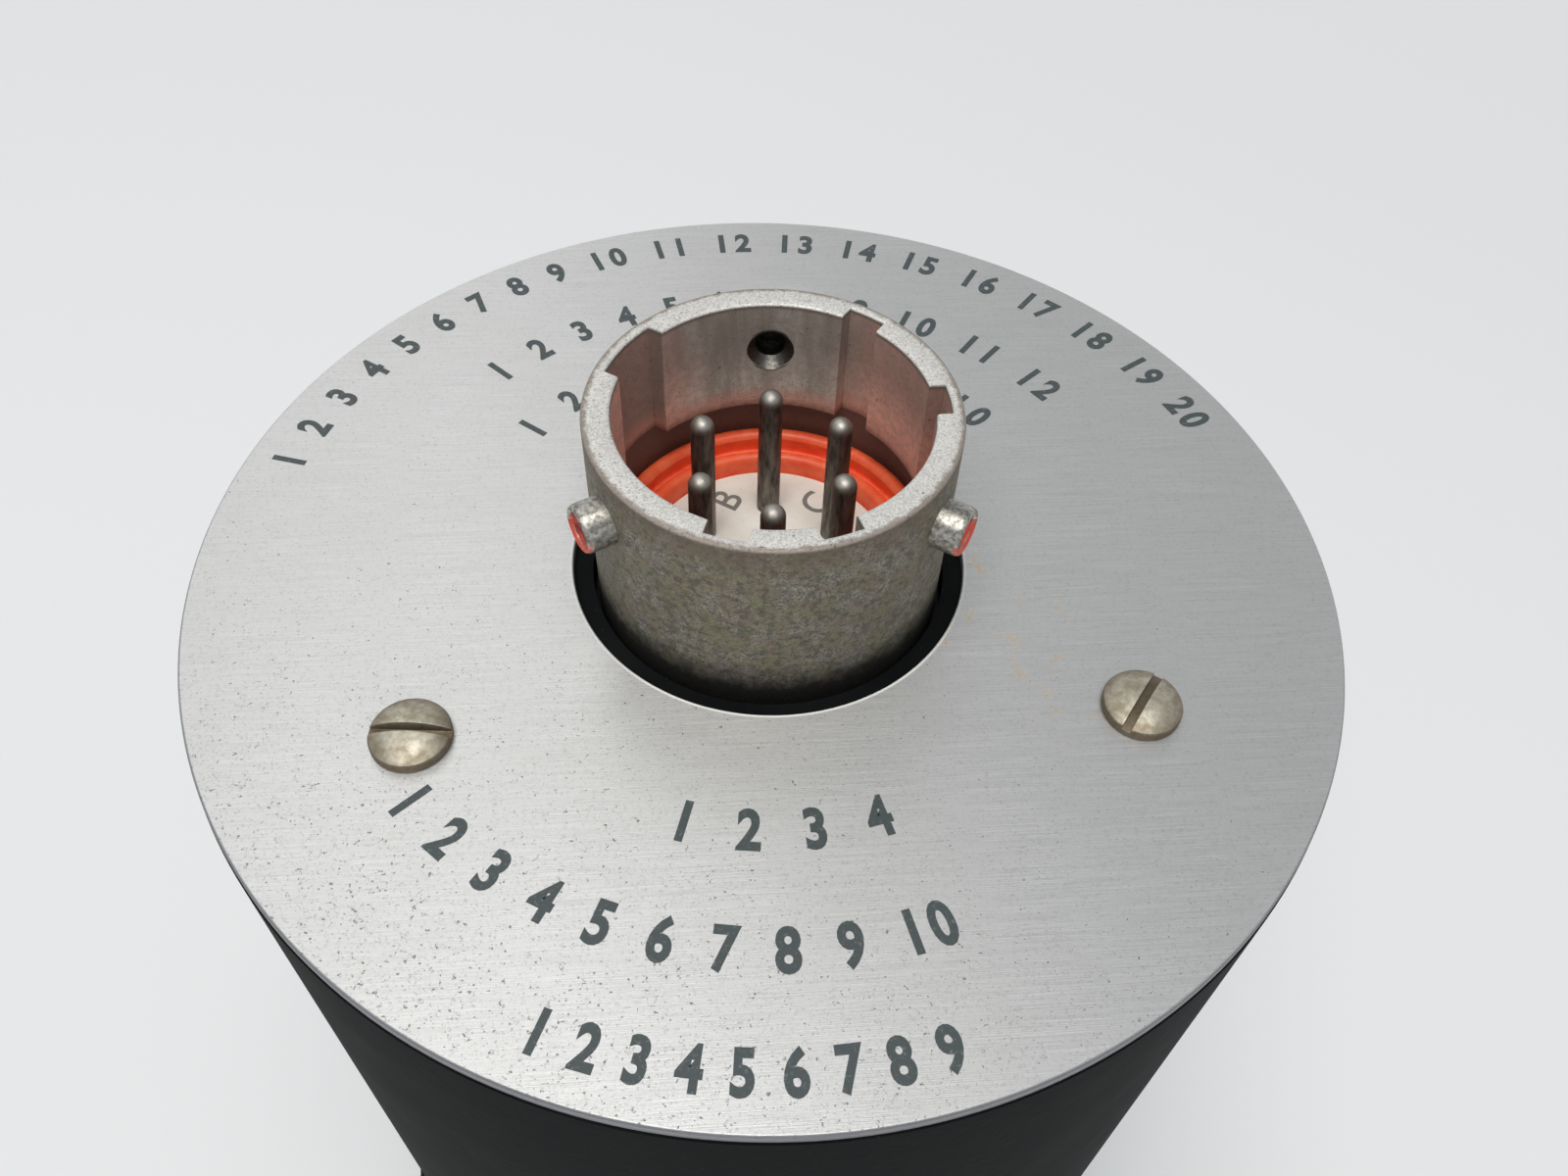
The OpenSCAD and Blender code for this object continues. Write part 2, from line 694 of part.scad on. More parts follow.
// Stator winding: coil sides in the slots, joined by the end turns at both ends of the core
module stator_windings() {
    turn_in_r = stator_in_r + tooth_tip;
    turn_out_r = synchro_in_r - 0.4;
    bulge = 0.7;
    color("#a3552b") {
        for (z = [core_z - end_turn_l, core_end_z]) translate([0, 0, z])
            rotate_extrude() polygon([
                [turn_in_r, bulge], [turn_in_r + bulge, 0], [turn_out_r - bulge, 0], [turn_out_r, bulge],
                [turn_out_r, end_turn_l - bulge], [turn_out_r - bulge, end_turn_l],
                [turn_in_r + bulge, end_turn_l], [turn_in_r, end_turn_l - bulge]
            ]);
        for (i = [0:stator_slots - 1]) polar(turn_in_r + slip, i * 360 / stator_slots, core_z - bulge)
            translate([0, slip - slot_w / 2, 0])
                cube([slot_depth - 2 * slip, slot_w - 2 * slip, core_l + 2 * bulge]);
    }
}

// Shaft from the pointer to the rear bearing
module rotor_shaft() {
    color("#c7c9cb") rotate_extrude() polygon([
        [0, hub_front_z],
        [shaft_tip_r - 0.2, hub_front_z],
        [shaft_tip_r, hub_front_z + 0.2],
        [shaft_tip_r, front_bearing_z - 0.3],
        [shaft_r, front_bearing_z - 0.3],
        [shaft_r, rear_bearing_z + bearing_w - 0.2],
        [shaft_r - 0.2, rear_bearing_z + bearing_w - 0.05],
        [0, rear_bearing_z + bearing_w - 0.05]
    ]);
}

neck_w = 6;
shoe_t = 3;

// Two-pole rotor core
module rotor_core() {
    color("#5c5f63") translate([0, 0, core_z]) difference() {
        intersection() {
            cylinder(r = rotor_r, h = core_l);
            union() {
                translate([-neck_w / 2, -rotor_r, 0]) cube([neck_w, rotor_d, core_l]);
                for (s = [-1, 1]) translate([-rotor_r, s > 0 ? rotor_r - shoe_t : -rotor_r, 0])
                    cube([rotor_d, shoe_t, core_l]);
            }
        }
        translate([0, 0, -eps]) cylinder(r = shaft_r, h = core_l + 2 * eps);
    }
}

// Coil wound round the neck of the rotor
module rotor_winding() {
    coil_x = sqrt(rotor_r * rotor_r - pow(rotor_r - shoe_t, 2)) - 0.4;
    coil_y = rotor_r - shoe_t;
    end = 1.8;
    color("#b5642f") translate([0, 0, core_z]) difference() {
        translate([-coil_x, -coil_y, -end]) cube([2 * coil_x, 2 * coil_y, core_l + 2 * end]);
        translate([-neck_w / 2, -coil_y - eps, 0]) cube([neck_w, 2 * coil_y + 2 * eps, core_l]);
        translate([0, 0, -end - eps]) cylinder(r = shaft_r, h = core_l + 2 * end + 2 * eps);
    }
}

// Insulating sleeve under the slip rings
module slip_ring_sleeve() {
    color("#6b3f22") translate([0, 0, slip_sleeve_z])
        ring(slip_ring_d / 2 - slip_ring_wall, shaft_r, slip_sleeve_l);
}

// Two slip rings
module slip_rings() {
    color("#cdbb74") for (i = [0, 1])
        translate([0, 0, slip_sleeve_z + slip_ring_gap + i * (slip_ring_t + slip_ring_gap)])
            ring(slip_ring_d / 2, slip_ring_d / 2 - slip_ring_wall, slip_ring_t);
}

// Insulating block on the end cap that carries the brushes
module brush_block() {
    block_z = slip_sleeve_z + slip_ring_gap;
    color("#3c2a1d") translate([brush_x, -brush_block_l / 2, block_z])
        cube([brush_block_w, brush_block_l, cap_spigot_z - block_z]);
}

// Two leaf brushes, one on each slip ring
module brushes() {
    leaf_t = 0.25;
    leaf_h = 0.8;
    overlap = 2.2;
    color("#cdbb74") for (i = [0, 1]) {
        z = slip_sleeve_z + slip_ring_gap + i * (slip_ring_t + slip_ring_gap) + (slip_ring_t - leaf_h) / 2;
        y = (i == 0 ? 1 : -1) * (slip_ring_d / 2 + run + leaf_t / 2);
        translate([-overlap, y - leaf_t / 2, z]) cube([brush_x + overlap, leaf_t, leaf_h]);
    }
}

// Races and balls of a bearing whose front face is at z = 0
module outer_race() {
    difference() {
        ring(bearing_r, bearing_pitch_r + race_gap / 2, bearing_w);
        ball_groove();
    }
}

module inner_race() {
    difference() {
        ring(bearing_pitch_r - race_gap / 2, shaft_r, bearing_w);
        ball_groove();
    }
}

module ball_groove() {
    translate([0, 0, bearing_w / 2]) rotate_extrude()
        translate([bearing_pitch_r, 0]) circle(r = ball_d / 2 + run);
}

module ball_set() {
    for (i = [0:ball_count - 1]) polar(bearing_pitch_r, i * 360 / ball_count, bearing_w / 2)
        sphere(r = ball_d / 2, $fn = 48);
}

// Crown cage, open on one side, with a pocket for each ball
module ball_cage() {
    translate([0, 0, bearing_w / 2]) difference() {
        translate([0, 0, cage_back - cage_w])
            ring(bearing_pitch_r + cage_t / 2, bearing_pitch_r - cage_t / 2, cage_w);
        for (i = [0:ball_count - 1]) polar(bearing_pitch_r, i * 360 / ball_count)
            sphere(r = ball_d / 2 + run, $fn = 48);
    }
}

module front_bearing_outer_race() {
    color("#c4c6c8") translate([0, 0, front_bearing_z]) outer_race();
}

module front_bearing_inner_race() {
    color("#c4c6c8") translate([0, 0, front_bearing_z]) inner_race();
}

module front_bearing_balls() {
    color("#d5d7d9") translate([0, 0, front_bearing_z]) ball_set();
}

module front_bearing_cage() {
    color("#a98b4a") translate([0, 0, front_bearing_z]) ball_cage();
}

module rear_bearing_outer_race() {
    color("#c4c6c8") translate([0, 0, rear_bearing_z]) outer_race();
}

module rear_bearing_inner_race() {
    color("#c4c6c8") translate([0, 0, rear_bearing_z]) inner_race();
}

module rear_bearing_balls() {
    color("#d5d7d9") translate([0, 0, rear_bearing_z]) ball_set();
}

module rear_bearing_cage() {
    color("#a98b4a") translate([0, 0, rear_bearing_z]) ball_cage();
}

// Insulating disc with the synchro terminals
module terminal_board() {
    color("#7a4a26") translate([0, 0, board_z]) difference() {
        cylinder(r = synchro_r - 1, h = board_t);
        for (i = [0:wired_contacts - 1])
            polar(terminal_r, contact_angle(i)) hole(2 * terminal_stem_r, board_t);
    }
}

// Turned terminals, one for each wire
module terminals() {
    color("#cfc28f") for (i = [0:wired_contacts - 1]) polar(terminal_r, contact_angle(i))
        rotate_extrude($fn = 48) polygon([
            [0, board_z + 0.3], [terminal_stem_r, board_z + 0.3], [terminal_stem_r, terminal_z],
            [1.3, terminal_z], [1.3, terminal_z + 0.6], [0.65, terminal_z + 0.6],
            [0.65, terminal_top_z - 0.6], [1, terminal_top_z - 0.6], [1, terminal_top_z], [0, terminal_top_z]
        ]);
}

// Wire routes are cubic curves that leave a solder cup and land on a terminal
function mix(a, b, t) = (1 - t) * a + t * b;
function line_mix(p, t) = [for (i = [0:len(p) - 2]) mix(p[i], p[i + 1], t)];
function curve(p, t) = len(p) == 1 ? p[0] : curve(line_mix(p, t), t);
function slope(p, t) = curve([for (i = [0:len(p) - 2]) p[i + 1] - p[i]], t);

// Tube of constant radius along a curve that lies in the XZ plane
module curved_wire(p, r, steps = 14, sides = 8) {
    points = [
        for (i = [0:steps])
            let (t = i / steps, c = curve(p, t), s = slope(p, t), n = s / norm(s))
                for (k = [0:sides - 1])
                    let (a = k * 360 / sides, u = r * cos(a), v = r * sin(a))
                        [c[0] + u * n[2], v, c[2] - u * n[0]]
    ];
    walls = [
        for (i = [0:steps - 1], k = [0:sides - 1])
            let (a = i * sides + k, b = i * sides + (k + 1) % sides)
                each [[a, b, b + sides], [a, b + sides, a + sides]]
    ];
    start = [for (k = [1:sides - 2]) [0, k + 1, k]];
    finish = [for (k = [1:sides - 2]) [steps * sides, steps * sides + k, steps * sides + k + 1]];
    polyhedron(points = points, faces = concat(walls, start, finish));
}

// Five wires from the connector to the synchro terminals
module hookup_wires() {
    start_z = cup_end_z + wire_in_cup;
    drop = 0.9 * (start_z - terminal_top_z);
    color("#d9d4c4") for (i = [0:wired_contacts - 1]) rotate([0, 0, contact_angle(i)])
        curved_wire([
            [contact_circle_r, 0, start_z],
            [contact_circle_r, 0, start_z - drop],
            [terminal_r, 0, terminal_top_z + drop],
            [terminal_r, 0, terminal_top_z]
        ], wire_d / 2);
}

// Children at the four corners of the square connector flange
module flange_corners(z) {
    for (i = [0:3]) rotate([0, 0, main_keyway_angle + i * 90])
        translate([flange_screw_pitch / 2, flange_screw_pitch / 2, z]) children();
}

// Square with round corners, drawn from exact shapes
module round_square(w, r, h) {
    linear_extrude(height = h) union() {
        square([w - 2 * r, w], center = true);
        square([w, w - 2 * r], center = true);
        for (x = [-1, 1], y = [-1, 1]) translate([x * (w / 2 - r), y * (w / 2 - r)]) circle(r = r, $fn = 48);
    }
}

// Connector shell: keyed barrel, undercut for the seal, square flange and rear barrel
module connector_shell() {
    bevel = 0.22;
    rear_r = shell_r - 0.4;
    color("#8f8c86") difference() {
        union() {
            rotate_extrude() polygon([
                [0, barrel_end_z],
                [rear_r - bevel, barrel_end_z],
                [rear_r, barrel_end_z + bevel],
                [rear_r, flange_back_z + eps],
                [shell_r, flange_back_z + eps],
                [shell_r, rim_z - bevel],
                [shell_r - bevel, rim_z],
                [0, rim_z]
            ]);
            rotate([0, 0, main_keyway_angle]) translate([0, 0, flange_back_z])
                round_square(shell_flange_w, 2.6, shell_flange_t);
        }
        translate([0, 0, barrel_end_z - eps]) cylinder(r = shell_bore_r, h = rim_z - barrel_end_z + 2 * eps);
        translate([0, 0, seal_z]) cylinder(r = undercut_r, h = undercut_z - seal_z);
        translate([0, 0, rim_z - bevel / 2])
            cylinder(r1 = shell_bore_r, r2 = shell_bore_r + bevel / 2 + eps, h = bevel / 2 + eps);
        keyway(main_keyway_w, 0);
        for (a = keyway_angles) keyway(keyway_w, a);
        for (a = bayonet_angles) rotate([0, 0, main_keyway_angle + a]) translate([0, 0, bayonet_z])
            rotate([0, 90, 0]) cylinder(r = bayonet_d / 2, h = shell_r + 1, $fn = 48);
        flange_corners(flange_back_z) hole(screw_hole_d, shell_flange_t);
    }
}

// Groove along the bore of the shell
module keyway(w, a) {
    rotate([0, 0, main_keyway_angle + a]) translate([0, 0, undercut_z - eps]) intersection() {
        cylinder(r = keyway_r, h = rim_z - undercut_z + 2 * eps);
        translate([0, -w / 2, 0]) cube([keyway_r + 1, w, rim_z - undercut_z + 2 * eps]);
    }
}

// Points of an arc in a profile
function arc(c, r, from, to, steps = 8) = [
    for (i = [0:steps]) let (a = from + (to - from) * i / steps) c + r * [cos(a), sin(a)]
];

// Ribbed silicone ring round the insert, sitting in the undercut: a tall outer rib and a lower inner one
module connector_seal() {
    outer_rib = [undercut_r - seal_rib_r, insert_z + seal_outer_h];
    inner_rib = [seal_in_r + seal_rib_r, insert_z + seal_inner_h];
    color("#e2491f") rotate_extrude() polygon(concat(
        [[seal_in_r, seal_z], [undercut_r, seal_z]],
        arc(outer_rib, seal_rib_r, 0, 170),
        [[outer_rib[0] - seal_rib_r, inner_rib[1]]],
        arc(inner_rib, seal_rib_r, 20, 180)
    ));
}

// White insert that carries the contacts
module connector_insert() {
    color("#ece8df") difference() {
        rotate_extrude() polygon([
            [0, insert_back_z],
            [shell_bore_r - slip, insert_back_z],
            [shell_bore_r - slip, seal_z],
            [seal_in_r, seal_z],
            [seal_in_r, insert_z],
            [0, insert_z]
        ]);
        for (i = [0:contact_count - 1]) polar(contact_circle_r, contact_angle(i), insert_back_z - eps)
            cylinder(r = contact_r, h = insert_z - insert_back_z + 2 * eps, $fn = 48);
    }
}

// Round-nosed pins with solder cups behind the insert
module contact_pins() {
    color("#6e675e") for (i = [0:contact_count - 1]) polar(contact_circle_r, contact_angle(i)) {
        translate([0, 0, insert_back_z])
            cylinder(r = contact_r, h = contact_tip_z - contact_r - insert_back_z, $fn = 48);
        translate([0, 0, contact_tip_z - contact_r]) sphere(r = contact_r, $fn = 48);
        difference() {
            translate([0, 0, cup_end_z]) cylinder(r = cup_r, h = cup_l, $fn = 48);
            translate([0, 0, cup_end_z - eps]) cylinder(r = cup_bore_r, h = cup_depth, $fn = 48);
        }
    }
}

// Three hollow pins pressed through the shell wall
module bayonet_pins() {
    chamfer = 0.2;
    wall_run = 1;             // by which the hollow starts before the pin does
    color("#a39f97") for (a = bayonet_angles) bayonet_place(a) difference() {
        rotate_extrude($fn = 48) polygon([
            [0, shell_bore_r],
            [bayonet_d / 2, shell_bore_r],
            [bayonet_d / 2, bayonet_span_d / 2 - chamfer],
            [bayonet_d / 2 - chamfer, bayonet_span_d / 2],
            [0, bayonet_span_d / 2]
        ]);
        translate([0, 0, shell_bore_r - wall_run]) cylinder(r = bayonet_bore_d / 2, h = bayonet_span_d, $fn = 48);
    }
}

// Red fill inside the outer end of each bayonet pin
module bayonet_pin_fill() {
    fill_t = 0.6;
    fill_recess = 0.25;
    color("#c8281c") for (a = bayonet_angles) bayonet_place(a)
        translate([0, 0, bayonet_span_d / 2 - fill_recess - fill_t])
            cylinder(r = bayonet_bore_d / 2, h = fill_t, $fn = 48);
}

// Children with their Z axis along a bayonet pin, outwards from the connector axis
module bayonet_place(a) {
    rotate([0, 0, main_keyway_angle + a]) translate([0, 0, bayonet_z]) rotate([0, 90, 0]) children();
}

// Flat rubber gasket between the flange and the rear wall
module connector_gasket() {
    color("#1c1c1c") difference() {
        rotate([0, 0, main_keyway_angle]) translate([0, 0, flange_front_z])
            round_square(shell_flange_w, 2.6, shell_gasket_t);
        translate([0, 0, flange_front_z - eps]) cylinder(r = shell_r + slip, h = shell_gasket_t + 2 * eps);
        flange_corners(flange_front_z) hole(screw_hole_d, shell_gasket_t);
    }
}

flange_shank_l = end_wall_t + shell_gasket_t + shell_flange_t + nut_t + 0.4;

// Countersunk screws of the connector flange, under the rear plate
module flange_screws() {
    slot = 0.5;               // width and depth of the screwdriver slot
    color("#9b9c9e") flange_corners(case_end_z) difference() {
        union() {
            translate([0, 0, -flat_head_t]) cylinder(r1 = screw_d / 2, r2 = flat_head_d / 2, h = flat_head_t);
            translate([0, 0, -flange_shank_l]) cylinder(r = screw_d / 2, h = flange_shank_l, $fn = 48);
        }
        translate([-flat_head_d, -slot / 2, -slot]) cube([2 * flat_head_d, slot, slot + eps]);
    }
}

// Hexagon nuts behind the connector flange
module flange_nuts() {
    color("#9b9c9e") flange_corners(flange_back_z - nut_t) difference() {
        cylinder(r = nut_w / 2 / cos(30), h = nut_t, $fn = 6);
        translate([0, 0, -eps]) cylinder(r = screw_d / 2 + run, h = nut_t + 2 * eps, $fn = 48);
    }
}

bezel();
window_snap_ring();
window_glass();
glass_gasket();
case_gasket();
case();
rear_plate();
rear_screws();
dial();
dial_marks();
dial_screws();
dial_spacers();
pointer();
pointer_hub();
pointer_cap();
frame_plate();
frame_screws();
support_posts();
synchro_housing();
synchro_end_cap();
synchro_clamps();
clamp_screws();
stator_core();
stator_windings();
rotor_shaft();
rotor_core();
rotor_winding();
slip_ring_sleeve();
slip_rings();
brush_block();
brushes();
front_bearing_outer_race();
front_bearing_inner_race();
front_bearing_balls();
front_bearing_cage();
rear_bearing_outer_race();
rear_bearing_inner_race();
rear_bearing_balls();
rear_bearing_cage();
terminal_board();
terminals();
hookup_wires();
connector_shell();
connector_insert();
connector_seal();
contact_pins();
bayonet_pins();
bayonet_pin_fill();
connector_gasket();
flange_screws();
flange_nuts();
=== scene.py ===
# %% [markdown]
# # A hydraulic fluid quantity indicator, seen from behind
#
# This lesson dresses a round aircraft panel instrument. It stands on its front face with the
# connector upward: a black can, a thin brushed plate on the rear wall, two slotted screws, and a
# bayonet socket with six contacts in the middle. On the front are the bezel, the window and the
# dial.
#
# The measured solids are loaded first. Each piece made here goes exactly where its solid says, so
# the heights and radii are read from the solids and not written twice.

# %% Load the frame
import json
from math import asin, cos, degrees, pi, radians, sin

import bpy
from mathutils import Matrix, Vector


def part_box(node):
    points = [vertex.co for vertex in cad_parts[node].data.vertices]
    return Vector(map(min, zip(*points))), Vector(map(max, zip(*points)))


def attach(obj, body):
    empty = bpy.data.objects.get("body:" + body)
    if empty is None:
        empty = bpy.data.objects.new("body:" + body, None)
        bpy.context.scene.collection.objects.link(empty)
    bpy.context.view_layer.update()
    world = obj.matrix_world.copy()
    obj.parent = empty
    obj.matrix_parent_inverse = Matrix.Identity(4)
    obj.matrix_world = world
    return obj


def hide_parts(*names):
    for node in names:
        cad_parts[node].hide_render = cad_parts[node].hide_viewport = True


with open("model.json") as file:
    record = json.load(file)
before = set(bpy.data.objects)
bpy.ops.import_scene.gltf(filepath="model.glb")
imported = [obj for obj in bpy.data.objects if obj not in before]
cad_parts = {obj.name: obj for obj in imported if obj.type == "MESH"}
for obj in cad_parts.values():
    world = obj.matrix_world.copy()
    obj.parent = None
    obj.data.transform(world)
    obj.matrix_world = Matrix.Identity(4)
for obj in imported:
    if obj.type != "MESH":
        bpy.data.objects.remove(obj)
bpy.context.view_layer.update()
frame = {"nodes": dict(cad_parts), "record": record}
MM = 0.001

# %% [markdown]
# ## Reading a size from a solid
#
# A turned part is fully described by a few radii and heights. Three small readers give the bottom,
# the top and the outer radius of a solid, all in millimetres, which is the unit that a maker would
# write on the drawing. A fourth one gives a point on a circle, for what stands round the axis.


# %% Sizes from the solids
def bottom(node):
    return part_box(node)[0].z / MM


def top(node):
    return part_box(node)[1].z / MM


def radius(node):
    low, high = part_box(node)
    return (high.x - low.x) / 2 / MM


def on_circle(r, angle, z=0.0):
    return (r * cos(radians(angle)), r * sin(radians(angle)), z)


print("rear plate at", round(bottom("rear_plate"), 2), "to", round(top("rear_plate"), 2), "mm")

# %% [markdown]
# ## The camera
#
# The photograph was taken from very near, about 57 mm from the middle of the plate, which is why
# the far side of the plate looks so much smaller. The place and the tilt come from fitting the
# concentric circles of the plate and the socket. The lens angle belongs to the same fit.

# %% Camera
eye_mm = (-3.305, -37.324, 121.77)
eye_tilt_deg = (39.673, -1.787, -4.034)
lens_mm = 29.67
bpy.ops.object.select_all(action="DESELECT")
bpy.ops.object.camera_add(location=[v * MM for v in eye_mm],
                          rotation=[radians(a) for a in eye_tilt_deg])
camera = bpy.context.object
camera.name = "photo_view"
camera.data.sensor_width = 36
camera.data.lens = lens_mm
camera.data.clip_start = 0.002
camera.data.clip_end = 20
bpy.context.scene.camera = camera
print("camera stands", round(eye_mm[2] - top("rear_plate"), 1), "mm above the plate")

# %% [markdown]
# ## Drawing with an outline
#
# Almost everything on this instrument was made on a lathe. The natural way to model it is the
# lathe's own: draw half of the section, then spin it. An outline is drawn point by point, by
# extruding one vertex, and `spin` turns it round the axis. The doubles at the seam and on the axis
# are merged afterwards, and the normals are made to point outwards.


# %% Selecting
def put_away():
    if bpy.context.object and bpy.context.object.mode != "OBJECT":
        bpy.ops.object.mode_set(mode="OBJECT")
    bpy.ops.object.select_all(action="DESELECT")


def alone(piece):
    """Select this piece and nothing else."""
    put_away()
    piece.select_set(True)
    bpy.context.view_layer.objects.active = piece


def bake_place():
    bpy.ops.object.transform_apply(location=True, rotation=True, scale=True)


def edit_all():
    bpy.ops.object.mode_set(mode="EDIT")
    bpy.ops.mesh.select_all(action="SELECT")


def select_edges(piece, wanted):
    """Enter edit mode with the edges selected whose two ends, in millimetres, are wanted."""
    bpy.ops.object.mode_set(mode="EDIT")
    bpy.ops.mesh.select_mode(type="EDGE")
    bpy.ops.mesh.select_all(action="DESELECT")
    bpy.ops.object.mode_set(mode="OBJECT")
    points = piece.data.vertices
    for edge in piece.data.edges:
        first, second = (points[i].co / MM for i in edge.vertices)
        edge.select = wanted(first, second)
    bpy.ops.object.mode_set(mode="EDIT")


# %% Drawing a closed line from one vertex
def draw_line(name, points):
    put_away()
    bpy.ops.mesh.primitive_plane_add(size=MM, location=Vector(points[0]) * MM)
    piece = bpy.context.object
    piece.name = name
    bake_place()
    bpy.ops.object.mode_set(mode="EDIT")
    bpy.ops.mesh.select_mode(type="VERT")
    bpy.ops.mesh.select_all(action="SELECT")
    bpy.ops.mesh.merge(type="CENTER")
    for here, there in zip(points, list(points[1:]) + [points[0]]):
        step = (Vector(there) - Vector(here)) * MM
        bpy.ops.mesh.extrude_vertices_move(TRANSFORM_OT_translate={"value": step})
    bpy.ops.mesh.select_all(action="SELECT")
    bpy.ops.mesh.remove_doubles(threshold=1e-6)
    return piece


# %% Spinning and finishing
def clean_up(piece, angle=30):
    edit_all()
    bpy.ops.mesh.remove_doubles(threshold=1e-6)
    bpy.ops.mesh.normals_make_consistent(inside=False)
    bpy.ops.object.mode_set(mode="OBJECT")
    bpy.ops.object.shade_smooth_by_angle(angle=radians(angle))


def turned(name, section, steps=192):
    piece = draw_line(name, [(r, 0, z) for r, z in section])
    bpy.ops.mesh.select_all(action="SELECT")
    bpy.ops.mesh.spin(steps=steps, angle=2 * pi, center=(0, 0, 0), axis=(0, 0, 1))
    clean_up(piece)
    print(name, len(piece.data.polygons), "faces")
    return piece


def crowned(edge_r, height, last_r, steps=8):
    """A low dome from its middle out to last_r, as radius and drop below the middle."""
    ball_r = (edge_r ** 2 + height ** 2) / (2 * height)
    angles = [asin(last_r / ball_r) * i / steps for i in range(steps + 1)]
    return [(ball_r * sin(a), ball_r - ball_r * cos(a)) for a in angles]


# %% [markdown]
# ## Soft edges
#
# No real edge is perfectly sharp: a tool, a polish or years of handling round it, and that
# narrow round catches the light. A Bevel modifier with an angle limit finds the sharp edges by
# itself. It is applied at once, so the finished mesh holds the round.


# %% Rounding the sharp edges
def round_edges(piece, width, angle=35):
    alone(piece)
    bevel = piece.modifiers.new("round", "BEVEL")
    bevel.width = width * MM
    bevel.segments = 2
    bevel.limit_method = "ANGLE"
    bevel.angle_limit = radians(angle)
    bevel.harden_normals = False
    bpy.ops.object.modifier_apply(modifier=bevel.name)
    bpy.ops.object.shade_smooth_by_angle(angle=radians(40))


# %% [markdown]
# ## Cutting one shape out of another
#
# Slots and cross holes are cut as in the workshop, with a cutter that has the size of the milling
# tool or the drill. The Boolean modifier does it, and the cutter is thrown away.


# %% Cutting and drilling
def cut(piece, cutter):
    alone(piece)
    boolean = piece.modifiers.new("cut", "BOOLEAN")
    boolean.operation = "DIFFERENCE"
    boolean.solver = "EXACT"
    boolean.object = cutter
    bpy.ops.object.modifier_apply(modifier=boolean.name)
    bpy.data.objects.remove(cutter, do_unlink=True)


def drill(piece, r, spot, turn=(0, 0, 0), vertices=48):
    put_away()
    bpy.ops.mesh.primitive_cylinder_add(vertices=vertices, radius=r * MM, depth=4 * MM,
                                        location=Vector(spot) * MM, rotation=turn)
    cut(piece, bpy.context.object)


# %% [markdown]
# ## Putting a piece in its place
#
# Each piece rides on one body of the frame, stands for one solid, and takes its finish from one
# named slot. The finishes are kept in a list by the names of those slots. The turn and the place
# are baked into the mesh, so that patterns in the materials stay where they are on the piece.


# %% Turning, copying, joining and fitting
def place(piece, turn=(0, 0, 0), move=(0, 0, 0)):
    alone(piece)
    piece.rotation_euler = [radians(a) for a in turn]
    piece.location = Vector(move) * MM
    bake_place()
    return piece


def copy_of(piece, name):
    twin = piece.copy()
    twin.data = piece.data.copy()
    twin.name = name
    bpy.context.scene.collection.objects.link(twin)
    return twin


def joined(pieces, name):
    put_away()
    for piece in pieces:
        piece.select_set(True)
    bpy.context.view_layer.objects.active = pieces[0]
    bpy.ops.object.join()
    pieces[0].name = name
    print(name, "from", len(pieces), "pieces,", len(pieces[0].data.polygons), "faces")
    return pieces[0]


finishes = {}


def fit(piece, body, slot, *stands_for, ink=None):
    """Let a piece ride on a body and stand for solids. Its finish is the slot's, or an ink."""
    piece.data.materials.clear()
    piece.data.materials.append(finishes[ink or slot])
    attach(piece, body)
    if stands_for:
        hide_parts(*stands_for)


# %% [markdown]
# ## Materials: nodes in millimetres
#
# Every finish here is a small tree of nodes. The pattern coordinates are the object's own,
# scaled so that one unit is one millimetre. Then a noise scale of 2 means two blobs per
# millimetre, and the sizes in the tree can be compared with the real thing under a loupe.


# %% Starting and ending a finish
def give(socket, value):
    """Link the output of a node to this input, or set the input to a plain value."""
    if isinstance(value, bpy.types.NodeSocket):
        socket.id_data.links.new(value, socket)
    else:
        socket.default_value = (*value, 1) if socket.type == "RGBA" else value


def add(tree, kind, inputs=None, **settings):
    made = tree.nodes.new("ShaderNode" + kind)
    for key, value in settings.items():
        setattr(made, key, value)
    for key, value in (inputs or {}).items():
        give(made.inputs[key], value)
    return made


def finished(material, colour=None, roughness=None, metallic=None, bump=None, others=None):
    """Give the shader what was made. A bump is a height and its depth in millimetres."""
    tree = material.node_tree
    made = {"Base Color": colour, "Roughness": roughness, "Metallic": metallic, **(others or {})}
    if bump:
        raised = {"Height": bump[0], "Distance": bump[1] * MM, "Strength": 1.0}
        made["Normal"] = add(tree, "Bump", raised).outputs["Normal"]
    for name, value in made.items():
        if value is not None:
            give(tree.nodes["Principled BSDF"].inputs[name], value)
    return material


def stretched(where, scale):
    return add(where.id_data, "Mapping", {"Vector": where, "Scale": scale}).outputs["Vector"]


def new_finish(name, colour, metallic, roughness):
    """A new material, kept under its name, and its coordinates in millimetres."""
    material = bpy.data.materials.new(name)
    material.use_nodes = True
    finishes[name] = finished(material, colour, roughness, metallic)
    place_on_piece = add(material.node_tree, "TexCoord").outputs["Object"]
    print("finish:", name)
    return material, stretched(place_on_piece, (1000, 1000, 1000))


# %% Patterns and sums
def noise(where, scale, detail=3.0, rough=0.55):
    inputs = {"Vector": where, "Scale": scale, "Detail": detail, "Roughness": rough}
    return add(where.id_data, "TexNoise", inputs).outputs["Fac"]


def waves(where, kind, scale, distortion, detail):
    """RINGS round the upright axis, or BANDS along it."""
    inputs = {"Vector": where, "Scale": scale, "Distortion": distortion, "Detail": detail}
    return add(where.id_data, "TexWave", inputs, wave_type=kind, rings_direction="Z",
               bands_direction="Z").outputs["Fac"]


def ramp(field, low, high, out_low=0.0, out_high=1.0):
    inputs = {0: field, 1: low, 2: high, 3: out_low, 4: out_high}
    return add(field.id_data, "MapRange", inputs).outputs["Result"]


